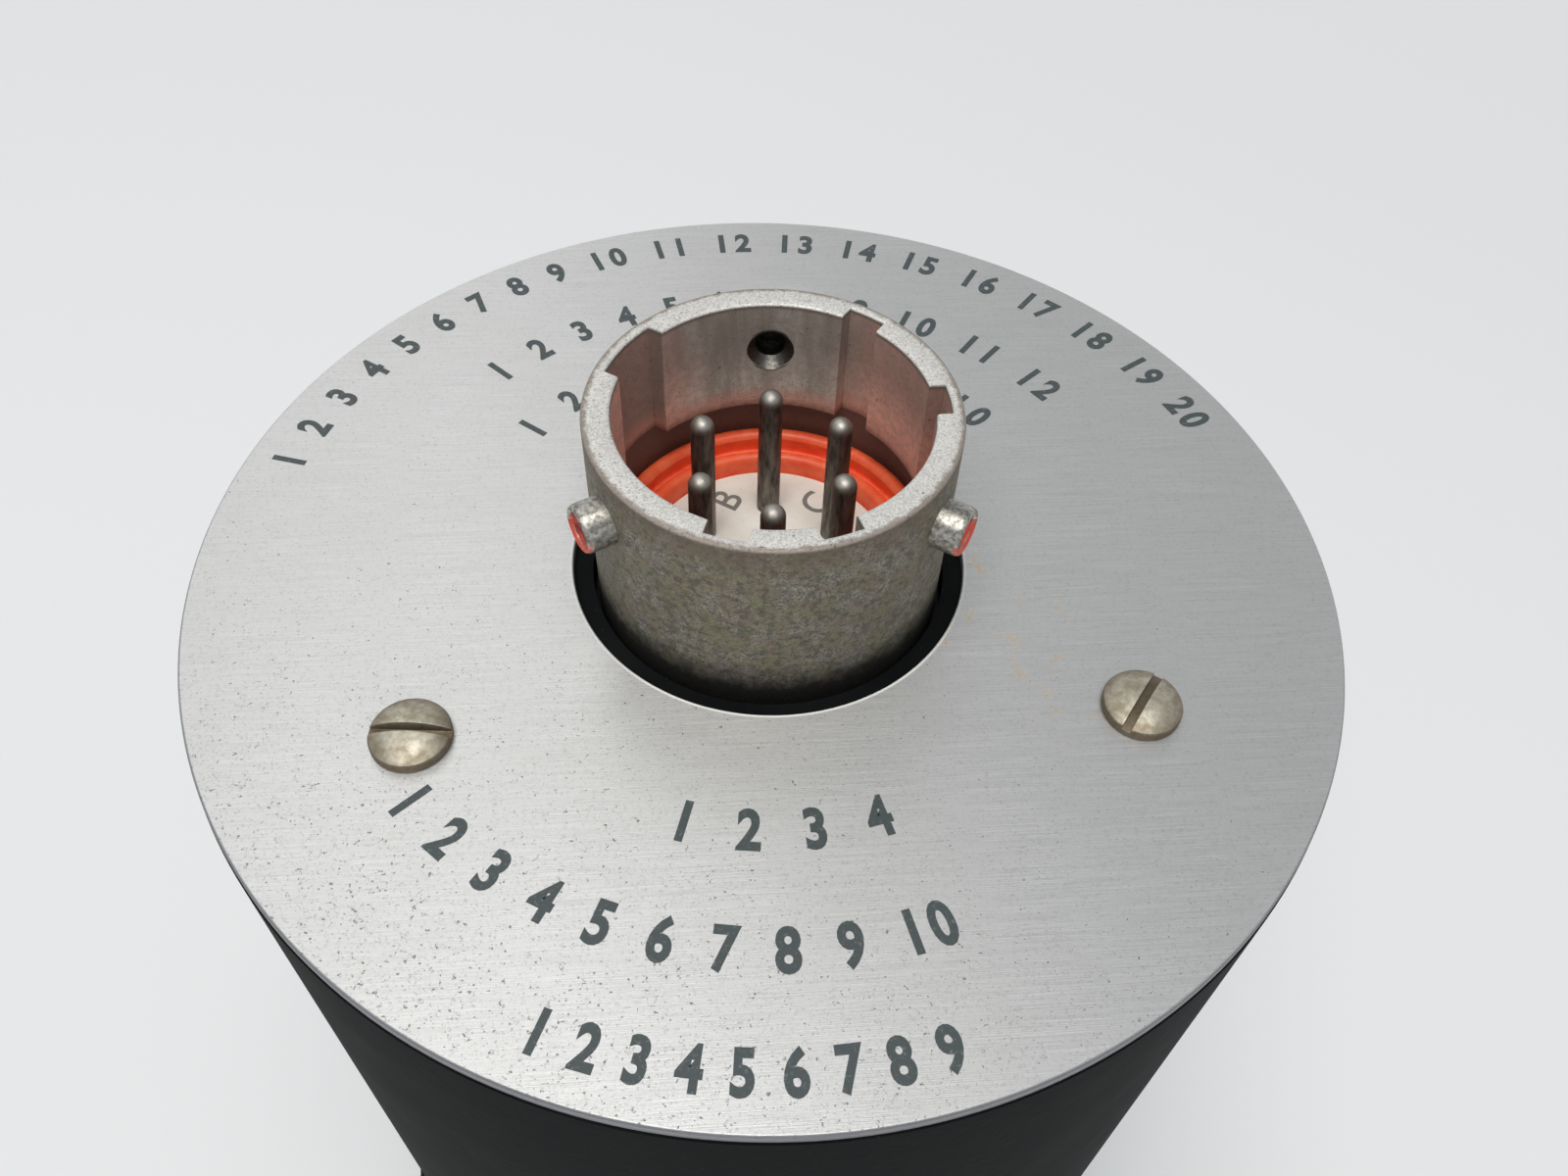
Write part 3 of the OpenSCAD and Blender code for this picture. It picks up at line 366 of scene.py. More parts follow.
def maths(operation, first, second=0.0):
    return add(first.id_data, "Math", {0: first, 1: second}, operation=operation).outputs["Value"]


def plus(first, second):
    return maths("ADD", first, second)


def minus(first, second):
    return maths("SUBTRACT", first, second)


def times(first, second):
    return maths("MULTIPLY", first, second)


# %% Places on the piece
def axis_of(where, axis):
    return add(where.id_data, "SeparateXYZ", {"Vector": where}).outputs[axis]


def radius_of(where):
    x, y = axis_of(where, "X"), axis_of(where, "Y")
    return maths("SQRT", plus(times(x, x), times(y, y)))


def near(field, middle, inner, outer):
    """One up to the inner distance from the middle, falling to nothing at the outer one."""
    return ramp(maths("ABSOLUTE", minus(field, middle)), inner, outer, 1.0, 0.0)


# %% [markdown]
# A worn surface is many thin coats, one over the other. `spread` runs from a dark to a light colour
# along a pattern. `layer` lays a colour over what is there, where a pattern is between two values.
# `patch` does it where a ready mask is, at a share of its strength.


# %% Coats of colour
def tint(share, first, second):
    return add(share.id_data, "Mix", {0: share, 6: first, 7: second}, data_type="RGBA").outputs[2]


def spread(field, low, high, dark, light):
    return tint(ramp(field, low, high), dark, light)


def layer(under, field, low, high, share, colour):
    return tint(ramp(field, low, high, 0.0, share), under, colour)


def patch(under, mask, share, colour):
    return tint(times(mask, share), under, colour)


# %% [markdown]
# ## The brushed plate
#
# The plate is thin aluminium sheet. Its surface was drawn once along an abrasive belt, so all the
# fine lines run one way, from left to right. Light that falls on such lines spreads across them and
# not along them, which is why the plate shines in a band from front to back. The shader's
# Anisotropic value does that, with its tangent turned across the lines.
#
# Small dark pits gather along the lower left edge. They come from a noise whose threshold changes
# over the plate. Tan spots of dirt sit to the right of the socket.


# %% Lines, pits and spots of the plate
def brushed_lines(flat):
    lines = noise(stretched(flat, (0.06, 8, 1)), 3.0, 5.0, 0.7)
    threads = noise(stretched(flat, (0.3, 28, 1)), 1.0, 3.0, 0.6)
    return plus(times(lines, 0.6), times(threads, 0.4))


def speckle(field, toward_edge, sparse, dense):
    level = ramp(toward_edge, -0.25, 0.45, sparse, dense)
    return ramp(minus(field, level), 0.0, 0.05)


spots_x, spots_y = 10.3, -5.5


def dirt_spots(flat, x, y, r):
    zone = times(near(x, spots_x, 1.5, 5.0), near(y, spots_y, 3.0, 8.0))
    beside_hole = ramp(r, hole_r + 1.6, hole_r + 0.3, 0.0, 0.09)
    share = plus(times(zone, 0.13), beside_hole)
    return ramp(plus(noise(flat, 1.25, 4.0, 0.6), share), 0.72, 0.86)


# %% [markdown]
# Round the hole the punch left a burr. On the near side it carries a painted highlight, a
# near-white, barely metallic line. The outer edge is darker over its last tenth of a millimetre.


# %% Finish of the plate
def brushed_sheet():
    material, flat = new_finish("bright_plate", (0.56, 0.565, 0.56), 0.62, 0.36)
    x, y, r = axis_of(flat, "X"), axis_of(flat, "Y"), radius_of(flat)
    grain = brushed_lines(flat)
    clouds = noise(flat, 0.12, 4.0, 0.6)
    metal = spread(grain, 0.33, 0.67, (0.46, 0.462, 0.46), (0.65, 0.652, 0.645))
    metal = layer(metal, clouds, 0.3, 0.75, 0.35, (0.51, 0.505, 0.485))
    crumbs = noise(flat, 7.5, 4.0, 0.75)
    metal = layer(metal, crumbs, 0.46, 0.34, 0.4, (0.33, 0.325, 0.30))
    toward_edge = plus(times(x, -0.010), times(y, -0.016))
    fine_pits = speckle(noise(flat, 9.5, 3.0, 0.65), toward_edge, 0.71, 0.595)
    dark_pits = speckle(noise(flat, 6.5, 2.0, 0.55), toward_edge, 0.76, 0.655)
    metal = patch(metal, fine_pits, 0.5, (0.16, 0.155, 0.14))
    metal = patch(metal, dark_pits, 0.75, (0.10, 0.095, 0.085))
    spots = dirt_spots(flat, x, y, r)
    metal = patch(metal, spots, 0.65, (0.44, 0.32, 0.19))
    # Painted highlight: on the near side of the hole a white line is laid over the burr, and it is
    # made less metallic.
    near_side_highlight = ramp(plus(y, times(clouds, 4.0)), -2.0, -5.0, 0.25, 1.0)
    burr_highlight = times(ramp(r, hole_r + 0.17, hole_r + 0.09), near_side_highlight)
    metal = tint(burr_highlight, metal, (0.95, 0.94, 0.90))
    metal = layer(metal, r, plate_edge_r - 0.10, plate_edge_r - 0.04, 0.85, (0.16, 0.16, 0.18))
    dull = plus(ramp(grain, 0.3, 0.7, 0.32, 0.40), times(spots, 0.2))
    across = add(flat.id_data, "CombineXYZ", {"X": 0.0, "Y": 1.0, "Z": 0.0}).outputs["Vector"]
    finished(material, metal, dull, ramp(burr_highlight, 0.0, 1.0, 0.62, 0.1),
             bump=(minus(grain, times(dark_pits, 0.8)), 0.010),
             others={"Anisotropic": 0.7, "Tangent": across})


hole_r = 8.53
plate_edge_r = radius("rear_plate")
brushed_sheet()

# %% [markdown]
# The sheet itself is a ring with a small broken edge at the top of each cut. Its section has six
# corners, and the spin makes the plate in one go. The screw heads cover the two screw holes, so the
# holes are left out here.

# %% Rear plate
plate_low, plate_top = bottom("rear_plate"), top("rear_plate")
outer_break = 0.08
hole_break = 0.05
rear_plate = turned("rear_plate_sheet", [
    (hole_r, plate_low), (plate_edge_r, plate_low), (plate_edge_r, plate_top - outer_break),
    (plate_edge_r - outer_break, plate_top), (hole_r + hole_break, plate_top),
    (hole_r, plate_top - hole_break)], steps=256)
round_edges(rear_plate, 0.02, 30)
fit(rear_plate, "housing", "bright_plate", "rear_plate")

# %% [markdown]
# ## The black can
#
# The can is drawn from sheet: a round wall, a rounded corner and a flat rear wall, stove-enamelled
# black. Enamel on a drawn can has a faint orange peel, which a low noise bump gives, and specks of
# dust lie on it. Under the socket, where the plate has its hole, the black wall shows.


# %% Finish of the black enamel
def black_enamel(name, colour, roughness):
    material, flat = new_finish(name, colour, 0.0, roughness)
    dust = noise(flat, 0.25, 5.0, 0.6)
    specks = noise(flat, 7.0, 2.0, 0.6)
    dusty = tuple(c * 1.7 + 0.004 for c in colour)
    paint = layer(colour, dust, 0.35, 0.75, 0.5, dusty)
    paint = layer(paint, specks, 0.70, 0.76, 0.3, (0.12, 0.115, 0.11))
    finished(material, paint, ramp(dust, 0.3, 0.7, roughness - 0.02, roughness + 0.05),
             bump=(noise(flat, 1.6, 3.0, 0.5), 0.015), others={"Specular IOR Level": 0.02})


black_enamel("case_paint", (0.006, 0.0065, 0.007), 0.58)
black_enamel("bezel_paint", (0.014, 0.0145, 0.015), 0.52)

# %% [markdown]
# The section runs up the outer wall, round the rear corner and back down inside. The hole in the
# rear wall is only 0.2 mm larger in radius than the socket's shell.

# %% Can
case_low, case_end = bottom("case"), top("case")
case_r = radius("case")
case_wall = 1.2
end_wall = 1.5
case_hole_r = 7.7
can = turned("case_can", [
    (case_r - case_wall, case_low), (case_r - 0.15, case_low), (case_r, case_low + 0.15),
    (case_r, case_end - 0.12), (case_r - 0.12, case_end), (case_hole_r, case_end),
    (case_hole_r, case_end - end_wall), (case_r - case_wall - 1.2, case_end - end_wall),
    (case_r - case_wall, case_end - end_wall - 1.2)], steps=256)
fit(can, "housing", "case_paint", "case")

# %% [markdown]
# ## The shell of the socket
#
# The shell is the most careful piece of the object. Five keyways run down its bore, one wide and
# four narrow, so that the plug enters in one way only. The mouth is drawn as two matched
# outlines, one round and one with the keyways, which are bridged to a flat ring and extruded
# down. The part below the keyways is plain turning work.

# %% Sizes of the shell
shell_r = 7.495
bore_r = 6.35
keyway_r = 7.0
undercut_r = 7.05
rim_z = top("connector_shell")
shell_low = bottom("connector_shell")
flange_top = bottom("connector_gasket")
insert_z = rim_z - 9.07
seal_seat_z = insert_z - 0.93
undercut_z = insert_z + 3.5
key_angle = 147.0
keyways = [(0, 3.2), (105, 1.65), (140, 1.65), (215, 1.65), (265, 1.65)]
print("socket is", round(rim_z - insert_z, 2), "mm deep")


# %% Outline of the mouth
def mouth_outline():
    """Angle and inner radius of each point round the bore, with two points on each keyway wall."""
    step = 2.0
    corners = []
    for angle, width in keyways:
        at_bore = degrees(asin(width / 2 / bore_r))
        at_back = degrees(asin(width / 2 / keyway_r))
        corners.append((angle, at_bore, at_back))
    points = []
    for n, (angle, at_bore, at_back) in enumerate(corners):
        points += [(angle - at_bore, bore_r), (angle - at_back, keyway_r)]
        inside = max(2, round(2 * at_back / step))
        points += [(angle - at_back + 2 * at_back * i / inside, keyway_r) for i in range(1, inside)]
        points += [(angle + at_back, keyway_r), (angle + at_bore, bore_r)]
        after = corners[(n + 1) % len(corners)]
        gap_end = after[0] - after[1] + (360 if n + 1 == len(corners) else 0)
        gap = gap_end - (angle + at_bore)
        steps = max(1, round(gap / step))
        points += [(angle + at_bore + gap * i / steps, bore_r) for i in range(1, steps)]
    return points


mouth = mouth_outline()
print("points round the mouth:", len(mouth))

# %% Mouth of the shell
inner_points = [on_circle(inner, key_angle + angle, rim_z) for angle, inner in mouth]
outer_points = [on_circle(shell_r, key_angle + angle, rim_z) for angle, inner in mouth]
inner_line = draw_line("mouth_inner", inner_points)
outer_line = draw_line("socket_mouth", outer_points)
socket_shell = joined([outer_line, inner_line], "socket_mouth")
edit_all()
bpy.ops.mesh.bridge_edge_loops()
bpy.ops.mesh.select_all(action="SELECT")
mouth_depth = (undercut_z - rim_z) * MM
bpy.ops.mesh.extrude_region_move(TRANSFORM_OT_translate={"value": (0, 0, mouth_depth)})
bpy.ops.object.mode_set(mode="OBJECT")

# %% [markdown]
# The edges of the rim are long used and round. They are found by their place: both ends are up at
# the rim, and both belong to the same one of its two outlines.


# %% Rounded rim
def is_rim_edge(first, second):
    between_r = 7.3
    up_there = min(first.z, second.z) > rim_z - 0.01
    return up_there and (first.xy.length > between_r) == (second.xy.length > between_r)


select_edges(socket_shell, is_rim_edge)
bpy.ops.mesh.bevel(offset=0.13 * MM, segments=3, affect="EDGES")
clean_up(socket_shell, 40)
print("mouth with its round rim:", len(socket_shell.data.polygons), "faces")

# %% [markdown]
# The three bayonet pins go through the wall, so the wall needs its three cross holes. The inner
# ends of the pins are then seen inside the bore as small rings with a dark hole. The holes are cut
# while the mouth is still one closed body, because a Boolean needs a clear inside and outside.

# %% Cross holes for the bayonet pins
bayonet_z = rim_z - 2.45
pin_r = 1.025
pin_angles = [key_angle + angle for angle in (-60, 60, 180)]
wall_middle_r = 6.9
for angle in pin_angles:
    drill(socket_shell, pin_r, on_circle(wall_middle_r, angle, bayonet_z),
          (0, pi / 2, radians(angle)), vertices=64)
bpy.ops.object.shade_smooth_by_angle(angle=radians(40))
print("mouth with its cross holes:", len(socket_shell.data.polygons), "faces")

# %% Lower part of the shell
lower_shell = turned("socket_barrel", [
    (shell_r, undercut_z), (shell_r, flange_top - 1.0), (shell_r - 0.4, flange_top - 1.6),
    (shell_r - 0.4, shell_low), (bore_r, shell_low), (bore_r, seal_seat_z),
    (undercut_r, seal_seat_z), (undercut_r, undercut_z)])
socket_shell = joined([socket_shell, lower_shell], "socket_shell")

# %% [markdown]
# The square flange behind the rear wall is not in view from outside, but the shell isn't whole
# without it. A square is extruded to its thickness, its four corners are rounded, and four screw
# holes are drilled.

# %% Flange
flange_w = 23.8
flange_t = 1.6
flange_corner = 2.6
screw_spot = 9.13
screw_hole_r = 1.21
flange_middle = flange_top - flange_t / 2
put_away()
bpy.ops.mesh.primitive_plane_add(size=flange_w * MM, location=(0, 0, (flange_top - flange_t) * MM))
flange = bpy.context.object
bake_place()
edit_all()
bpy.ops.mesh.bevel(offset=flange_corner * MM, segments=8, affect="VERTICES")
bpy.ops.mesh.extrude_region_move(TRANSFORM_OT_translate={"value": (0, 0, flange_t * MM)})
clean_up(flange)
for x, y in ((1, 1), (-1, 1), (-1, -1), (1, -1)):
    drill(flange, screw_hole_r, (x * screw_spot, y * screw_spot, flange_middle))
drill(flange, shell_r - 0.6, (0, 0, flange_middle), vertices=192)
place(flange, turn=(0, 0, key_angle))
round_edges(flange, 0.12, 40)
socket_shell = joined([socket_shell, flange], "socket_shell")

# %% [markdown]
# ## Plated and worn aluminium
#
# The shell was plated once and is now a dull grey with a fine dark grain, like a pewter mug. Olive
# and violet clouds lie over the grey, with dark cracks and light scratches. A crack is a thin line:
# the places where a noise is very near to one value.


# %% The worn outside of the shell
def pewter_grey(flat, grain, clouds, blotches):
    body = spread(grain, 0.40, 0.60, (0.13, 0.12, 0.098), (0.44, 0.42, 0.352))
    body = layer(body, clouds, 0.40, 0.56, 0.8, (0.235, 0.22, 0.13))
    violet = noise(stretched(flat, (1.3, 1.3, 2.6)), 0.8, 5.0, 0.7)
    body = layer(body, violet, 0.48, 0.60, 0.7, (0.25, 0.185, 0.17))
    body = layer(body, blotches, 0.48, 0.60, 0.6, (0.10, 0.092, 0.075))
    crack_field = noise(stretched(flat, (1, 1, 2.2)), 1.1, 4.0, 0.75)
    cracks = near(crack_field, 0.47, 0.003, 0.011)
    cracks = times(cracks, ramp(blotches, 0.46, 0.56))
    body = patch(body, cracks, 0.85, (0.03, 0.028, 0.024))
    scratch_field = noise(stretched(flat, (0.7, 0.7, 6)), 1.6, 2.0, 0.5)
    scratches = near(scratch_field, 0.5, 0.001, 0.007)
    return patch(body, scratches, 0.6, (0.62, 0.60, 0.50))


# %% [markdown]
# The rim is rubbed by the plug and lighter. Just below it lies a brown tide, and brown dirt eats
# into its outer edge in a ragged line.


# %% The rubbed rim
def rubbed_rim(body, z, r, grain, clouds, blotches):
    tide_line = plus(z, clouds)
    body = layer(body, tide_line, rim_z - 1.1, rim_z + 0.35, 0.65, (0.16, 0.125, 0.095))
    bare = spread(grain, 0.30, 0.58, (0.42, 0.40, 0.37), (0.80, 0.785, 0.75))
    ragged_r = plus(r, times(blotches, 0.5))
    bare = layer(bare, ragged_r, shell_r - 0.035, shell_r + 0.125, 0.75, (0.22, 0.165, 0.12))
    return tint(ramp(z, rim_z - 0.13, rim_z - 0.05), body, bare)


# %% [markdown]
# Inside, grey streaks run down the wall. At the sides it is reddish brown, partly rust and partly
# a painted reflection of the orange seal, and low down the seal's colour is laid on as a painted
# reflection. It is darker near the rim, painted shade darkens the keyway on the left, a painted
# shadow runs along the edge of the undercut, and painted shade makes the undercut nearly black.


# %% The inner wall
def inner_wall(flat, z, r, blotches):
    x = axis_of(flat, "X")
    streaks = noise(stretched(flat, (1, 1, 0.16)), 0.9, 5.0, 0.65)
    rust_and_reflection_noise = noise(stretched(flat, (1, 1, 0.35)), 0.35, 3.0, 0.6)
    wall = spread(streaks, 0.38, 0.62, (0.34, 0.31, 0.265), (0.66, 0.63, 0.56))
    # Partly rust and partly painted reflection: the sides of the bore are tinted reddish brown like
    # the seal.
    side_rust_and_reflection = plus(maths("ABSOLUTE", x), times(rust_and_reflection_noise, 3.0))
    wall = layer(wall, side_rust_and_reflection, 4.0, 6.6, 0.85, (0.93, 0.45, 0.35))
    wall = layer(wall, blotches, 0.58, 0.40, 0.35, (0.24, 0.20, 0.17))
    # Painted shade: the keyway on the left is darkened.
    left_keyway_shade = times(ramp(r, bore_r + 0.02, bore_r + 0.10), ramp(x, -1.0, -2.0))
    wall = patch(wall, left_keyway_shade, 0.65, (0.13, 0.125, 0.11))
    # Painted reflection: low on the wall, above the undercut, the seal's orange is laid on as a
    # pink tint.
    seal_reflection_line = plus(z, times(blotches, 0.8))
    wall = layer(wall, seal_reflection_line, undercut_z + 1.6, undercut_z + 0.7, 0.8, (0.64, 0.30, 0.225))
    rim_shade = ramp(plus(z, times(streaks, 1.6)), rim_z - 3.4, rim_z - 1.2)
    rim_shade = times(rim_shade, ramp(x, -5.2, -4.2, 0.05, 1.0))
    wall = patch(wall, rim_shade, 0.62, (0.18, 0.15, 0.13))
    # Painted shadow: a dark band along the edge of the undercut.
    undercut_shadow_line = plus(z, times(blotches, 0.5))
    wall = layer(wall, undercut_shadow_line, undercut_z + 0.65, undercut_z + 0.22, 0.85, (0.17, 0.08, 0.062))
    # Painted shade: the undercut itself is made nearly black.
    return layer(wall, z, undercut_z + 0.02, undercut_z - 0.05, 0.97, (0.12, 0.055, 0.042))


# %% [markdown]
# Near the base the shell turns dark in a soft band with a ragged upper edge. All of
# these are masks made from height, radius and noise, and the whole finish is their sum.


# %% Finish of the shell
def worn_plating():
    material, flat = new_finish("connector_plating", (0.20, 0.19, 0.175), 0.6, 0.55)
    z, r = axis_of(flat, "Z"), radius_of(flat)
    grain = noise(flat, 11.0, 5.0, 0.75)
    clouds = noise(flat, 0.9, 4.0, 0.6)
    blotches = noise(flat, 3.2, 4.0, 0.65)
    body = pewter_grey(flat, grain, clouds, blotches)
    body = rubbed_rim(body, z, r, grain, clouds, blotches)
    inside = ramp(r, undercut_r + 0.15, undercut_r + 0.07)
    below_rim = times(inside, ramp(z, rim_z - 0.12, rim_z - 0.3))
    body = patch(body, below_rim, 0.95, inner_wall(flat, z, r, blotches))
    dark_base_line = plus(z, times(noise(flat, 1.3, 4.0, 0.7), 2.2))
    dark_base_band = times(ramp(inside, 1.0, 0.0), ramp(dark_base_line, plate_top + 2.9, plate_top + 1.3))
    body = patch(body, dark_base_band, 0.94, (0.012, 0.012, 0.013))
    pits = ramp(noise(flat, 16.0, 2.0, 0.6), 0.62, 0.68)
    body = patch(body, pits, 0.6, (0.05, 0.045, 0.04))
    chips = noise(flat, 5.5, 3.0, 0.6)
    body = layer(body, chips, 0.65, 0.70, 0.7, (0.075, 0.06, 0.045))
    finished(material, body, ramp(grain, 0.3, 0.7, 0.62, 0.46),
             ramp(below_rim, 0.0, 1.0, 0.55, 0.1),
             bump=(minus(grain, times(pits, 0.5)), 0.02))


worn_plating()
fit(socket_shell, "housing", "connector_plating", "connector_shell")

# %% [markdown]
# ## Hollow bayonet pins
#
# The plug's coupling ring hooks over three steel pins. They are short tubes: the outer end has a
# rounded lip and a sunk face with red paint in it, and the inner end is flared against the wall
# of the bore. One pin is turned upright, and it and two copies are laid across the holes.

# %% One bayonet pin, then three
pin_out = 8.635
pin_bore = 0.65
pin_mouth = 0.83
pin_section = [
    (pin_bore, bore_r + 0.42), (pin_r - 0.02, bore_r + 0.02), (pin_r + 0.03, bore_r - 0.05),
    (pin_r + 0.07, bore_r - 0.04), (pin_r + 0.07, bore_r + 0.02), (pin_r - 0.01, bore_r + 0.10),
    (pin_r - 0.01, pin_out - 0.30), (pin_r - 0.03, pin_out - 0.14), (pin_r - 0.09, pin_out - 0.03),
    (pin_r - 0.15, pin_out), (pin_mouth, pin_out - 0.04), (pin_mouth - 0.03, pin_out - 0.12),
    (pin_bore, pin_out - 0.40)]


def at_three_places(name, section, steps):
    """Spin a piece once, then lay it and two copies across the three holes."""
    first = turned(name + "_a", section, steps)
    pieces = [first, copy_of(first, name + "_b"), copy_of(first, name + "_c")]
    return [place(piece, turn=(0, 90, angle), move=(0, 0, bayonet_z))
            for piece, angle in zip(pieces, pin_angles)]


bayonet_pins = at_three_places("bayonet_pin", pin_section, 64)


# %% [markdown]
# The steel is mottled, tarnished inside the bore, and the brush that painted the hole touched the
# lower half of the lip as well. Where paint covers the metal, the surface is no longer metallic.


# %% Finish of steel, and what wear does to the pins
def bright_steel(name, light, dark, roughness, wear=None):
    material, flat = new_finish(name, light, 1.0, roughness)
    mottle = noise(flat, 6.0, 5.0, 0.65)
    steel, metallic = spread(mottle, 0.36, 0.64, dark, light), 1.0
    if wear:
        steel, metallic = wear(flat, mottle, steel)
    dull = ramp(mottle, 0.3, 0.7, roughness + 0.12, roughness - 0.04)
    finished(material, steel, dull, metallic, bump=(mottle, 0.008))


def pin_wear(flat, mottle, steel):
    z, r = axis_of(flat, "Z"), radius_of(flat)
    steel = layer(steel, r, shell_r - 0.1, shell_r - 0.3, 0.85, (0.085, 0.08, 0.07))
    lip = ramp(r, pin_out - 0.15, pin_out - 0.09)
    low_side = plus(z, times(mottle, 0.9))
    smear = times(lip, ramp(low_side, bayonet_z + 0.55, bayonet_z + 0.25, 0.0, 0.9))
    steel = tint(smear, steel, (0.70, 0.075, 0.035))
    return steel, ramp(smear, 0.0, 1.0, 1.0, 0.1)


bright_steel("bayonet_steel", (0.56, 0.545, 0.495), (0.18, 0.17, 0.145), 0.36, pin_wear)
for pin in bayonet_pins:
    fit(pin, "housing", "bayonet_steel", "bayonet_pins")


# %% Finish of the red paint
def red_dab():
    material, flat = new_finish("red_paint", (0.70, 0.05, 0.03), 0.0, 0.35)
    z, r = axis_of(flat, "Z"), radius_of(flat)
    cover = noise(flat, 1.6, 3.0, 0.6)
    paint = spread(cover, 0.40, 0.56, (0.20, 0.02, 0.015), (0.86, 0.095, 0.04))
    # Painted shade: the upper part of the sunk red face is darkened, and deeper in the hole the
    # paint is made nearly black.
    paint = layer(paint, z, bayonet_z - 0.1, bayonet_z + 0.3, 0.85, (0.075, 0.02, 0.018))
    paint = layer(paint, r, pin_out - 0.62, pin_out - 0.82, 1.0, (0.006, 0.005, 0.005))
    finished(material, paint, bump=(cover, 0.05))


red_dab()

# %% Red paint in the pins
paint_section = [
    (0, pin_out - 0.85), (pin_bore - 0.01, pin_out - 0.85), (pin_bore - 0.01, pin_out - 0.40),
    (pin_mouth - 0.05, pin_out - 0.16), (pin_mouth - 0.22, pin_out - 0.20), (0.3, pin_out - 0.26),
    (0, pin_out - 0.27)]
for dab in at_three_places("bayonet_paint", paint_section, 48):
    fit(dab, "housing", "red_paint", "bayonet_pin_fill")

# %% [markdown]
# ## Insert and seal
#
# A white plastic insert holds the contacts. Round it lies a soft orange ring with two ribs, which
# the plug presses flat to keep water out. Silicone is matt and lets a little light in, so it gets
# some subsurface colour. The insert's letters name the contacts A to F, as on every such socket.


# %% Finishes of the insert and the seal
def orange_silicone():
    material, flat = new_finish("red_silicone", (0.80, 0.11, 0.03), 0.0, 0.42)
    shade = noise(flat, 1.2, 3.0, 0.6)
    grime = noise(flat, 3.5, 4.0, 0.65)
    rubber = spread(shade, 0.3, 0.7, (0.94, 0.095, 0.03), (1.0, 0.18, 0.065))
    rubber = layer(rubber, grime, 0.58, 0.78, 0.35, (0.30, 0.06, 0.03))
    soft = {"Subsurface Weight": 0.15, "Subsurface Radius": (0.0008, 0.0003, 0.0001)}
    finished(material, rubber, bump=(shade, 0.02), others=soft)


def moulded_white():
    material, flat = new_finish("insert_white", (0.78, 0.76, 0.70), 0.0, 0.38)
    shade = noise(flat, 0.8, 3.0, 0.6)
    dirt = noise(flat, 4.0, 4.0, 0.65)
    plastic = spread(shade, 0.3, 0.7, (0.84, 0.80, 0.71), (0.93, 0.90, 0.83))
    plastic = layer(plastic, dirt, 0.60, 0.80, 0.4, (0.42, 0.36, 0.28))
    finished(material, plastic, bump=(shade, 0.01))


moulded_white()
orange_silicone()


# %% Insert and seal
insert_low = bottom("connector_insert")
seal_in_r = 5.56
insert = turned("contact_insert", [
    (0, insert_low), (bore_r - 0.05, insert_low), (bore_r - 0.05, seal_seat_z),
    (seal_in_r - 0.01, seal_seat_z), (seal_in_r - 0.01, insert_z - 0.10),
    (seal_in_r - 0.11, insert_z),
    (0, insert_z)], steps=128)
fit(insert, "housing", "insert_white", "connector_insert")


def rib(centre_r, centre_z, r, first, last, count=8):
    angles = [radians(first + (last - first) * i / count) for i in range(count + 1)]
    return [(centre_r + r * cos(a), centre_z + r * sin(a)) for a in angles]


seal_section = [(seal_in_r, seal_seat_z), (undercut_r - 0.02, seal_seat_z)]
seal_section += rib(undercut_r - 0.36, insert_z + 1.20, 0.34, 0, 165)
seal_section += rib(6.33, insert_z + 0.62, 0.17, 15, -165)[1:]
seal_section += rib(seal_in_r + 0.38, insert_z + 0.46, 0.34, 15, 180)
seal = turned("seal_ring", seal_section, steps=160)
fit(seal, "housing", "red_silicone", "connector_seal")

# %% [markdown]
# ## Round-nosed contacts
#
# The six contacts are turned pins with a hemispherical nose. Behind the insert each one ends in a
# solder cup. The pin is spun once and copied. The metal has tarnished to a dark grey brown, and
# the colour turns lighter over the last half millimetre up to the noses.

# %% Sizes of a contact
contact_tip = top("contact_pins")
cup_end = bottom("contact_pins")
contact_r = 0.508
cup_r = 0.83
cup_bore_r = 0.58
contact_circle_r = 3.3
nose_z = contact_tip - contact_r


# %% Finish of the contacts
def tarnished_contact():
    material, flat = new_finish("contact_alloy", (0.20, 0.18, 0.16), 1.0, 0.36)
    z = axis_of(flat, "Z")
    streak = noise(stretched(flat, (1, 1, 0.2)), 4.0, 4.0, 0.6)
    old = spread(streak, 0.35, 0.65, (0.075, 0.068, 0.058), (0.25, 0.235, 0.205))
    old = layer(old, z, contact_tip - 0.55, contact_tip - 0.2, 0.75, (0.50, 0.47, 0.425))
    finished(material, old, ramp(streak, 0.3, 0.7, 0.58, 0.44), bump=(streak, 0.015))


# %% Six contacts
nose_angles = [radians(15 * i) for i in range(7)]
nose = [(contact_r * cos(a), nose_z + contact_r * sin(a)) for a in nose_angles]
first_contact = turned("contact_a", [
    (0, cup_end + 2.0), (cup_bore_r, cup_end + 2.0), (cup_bore_r, cup_end), (cup_r, cup_end),
    (cup_r, cup_end + 3.0), (contact_r, cup_end + 3.0)] + nose, steps=40)
tarnished_contact()
contacts = [first_contact] + [copy_of(first_contact, "contact_" + letter) for letter in "bcdef"]
for number, contact in enumerate(contacts):
    place(contact, move=on_circle(contact_circle_r, key_angle - 60 + 60 * number))
    fit(contact, "housing", "contact_alloy", "contact_pins")

# %% [markdown]
# ## Lettering as thin ink
#
# Printed marks are flat text, made a mesh, narrowed to the condensed shape of engraver's letters,
# and laid a few thousandths of a millimetre above the surface. One helper prints a row of signs
# along an arc. Seen from the rear, the upper rows read clockwise with their tops outward, and the
# lower rows read the other way with their tops toward the centre.


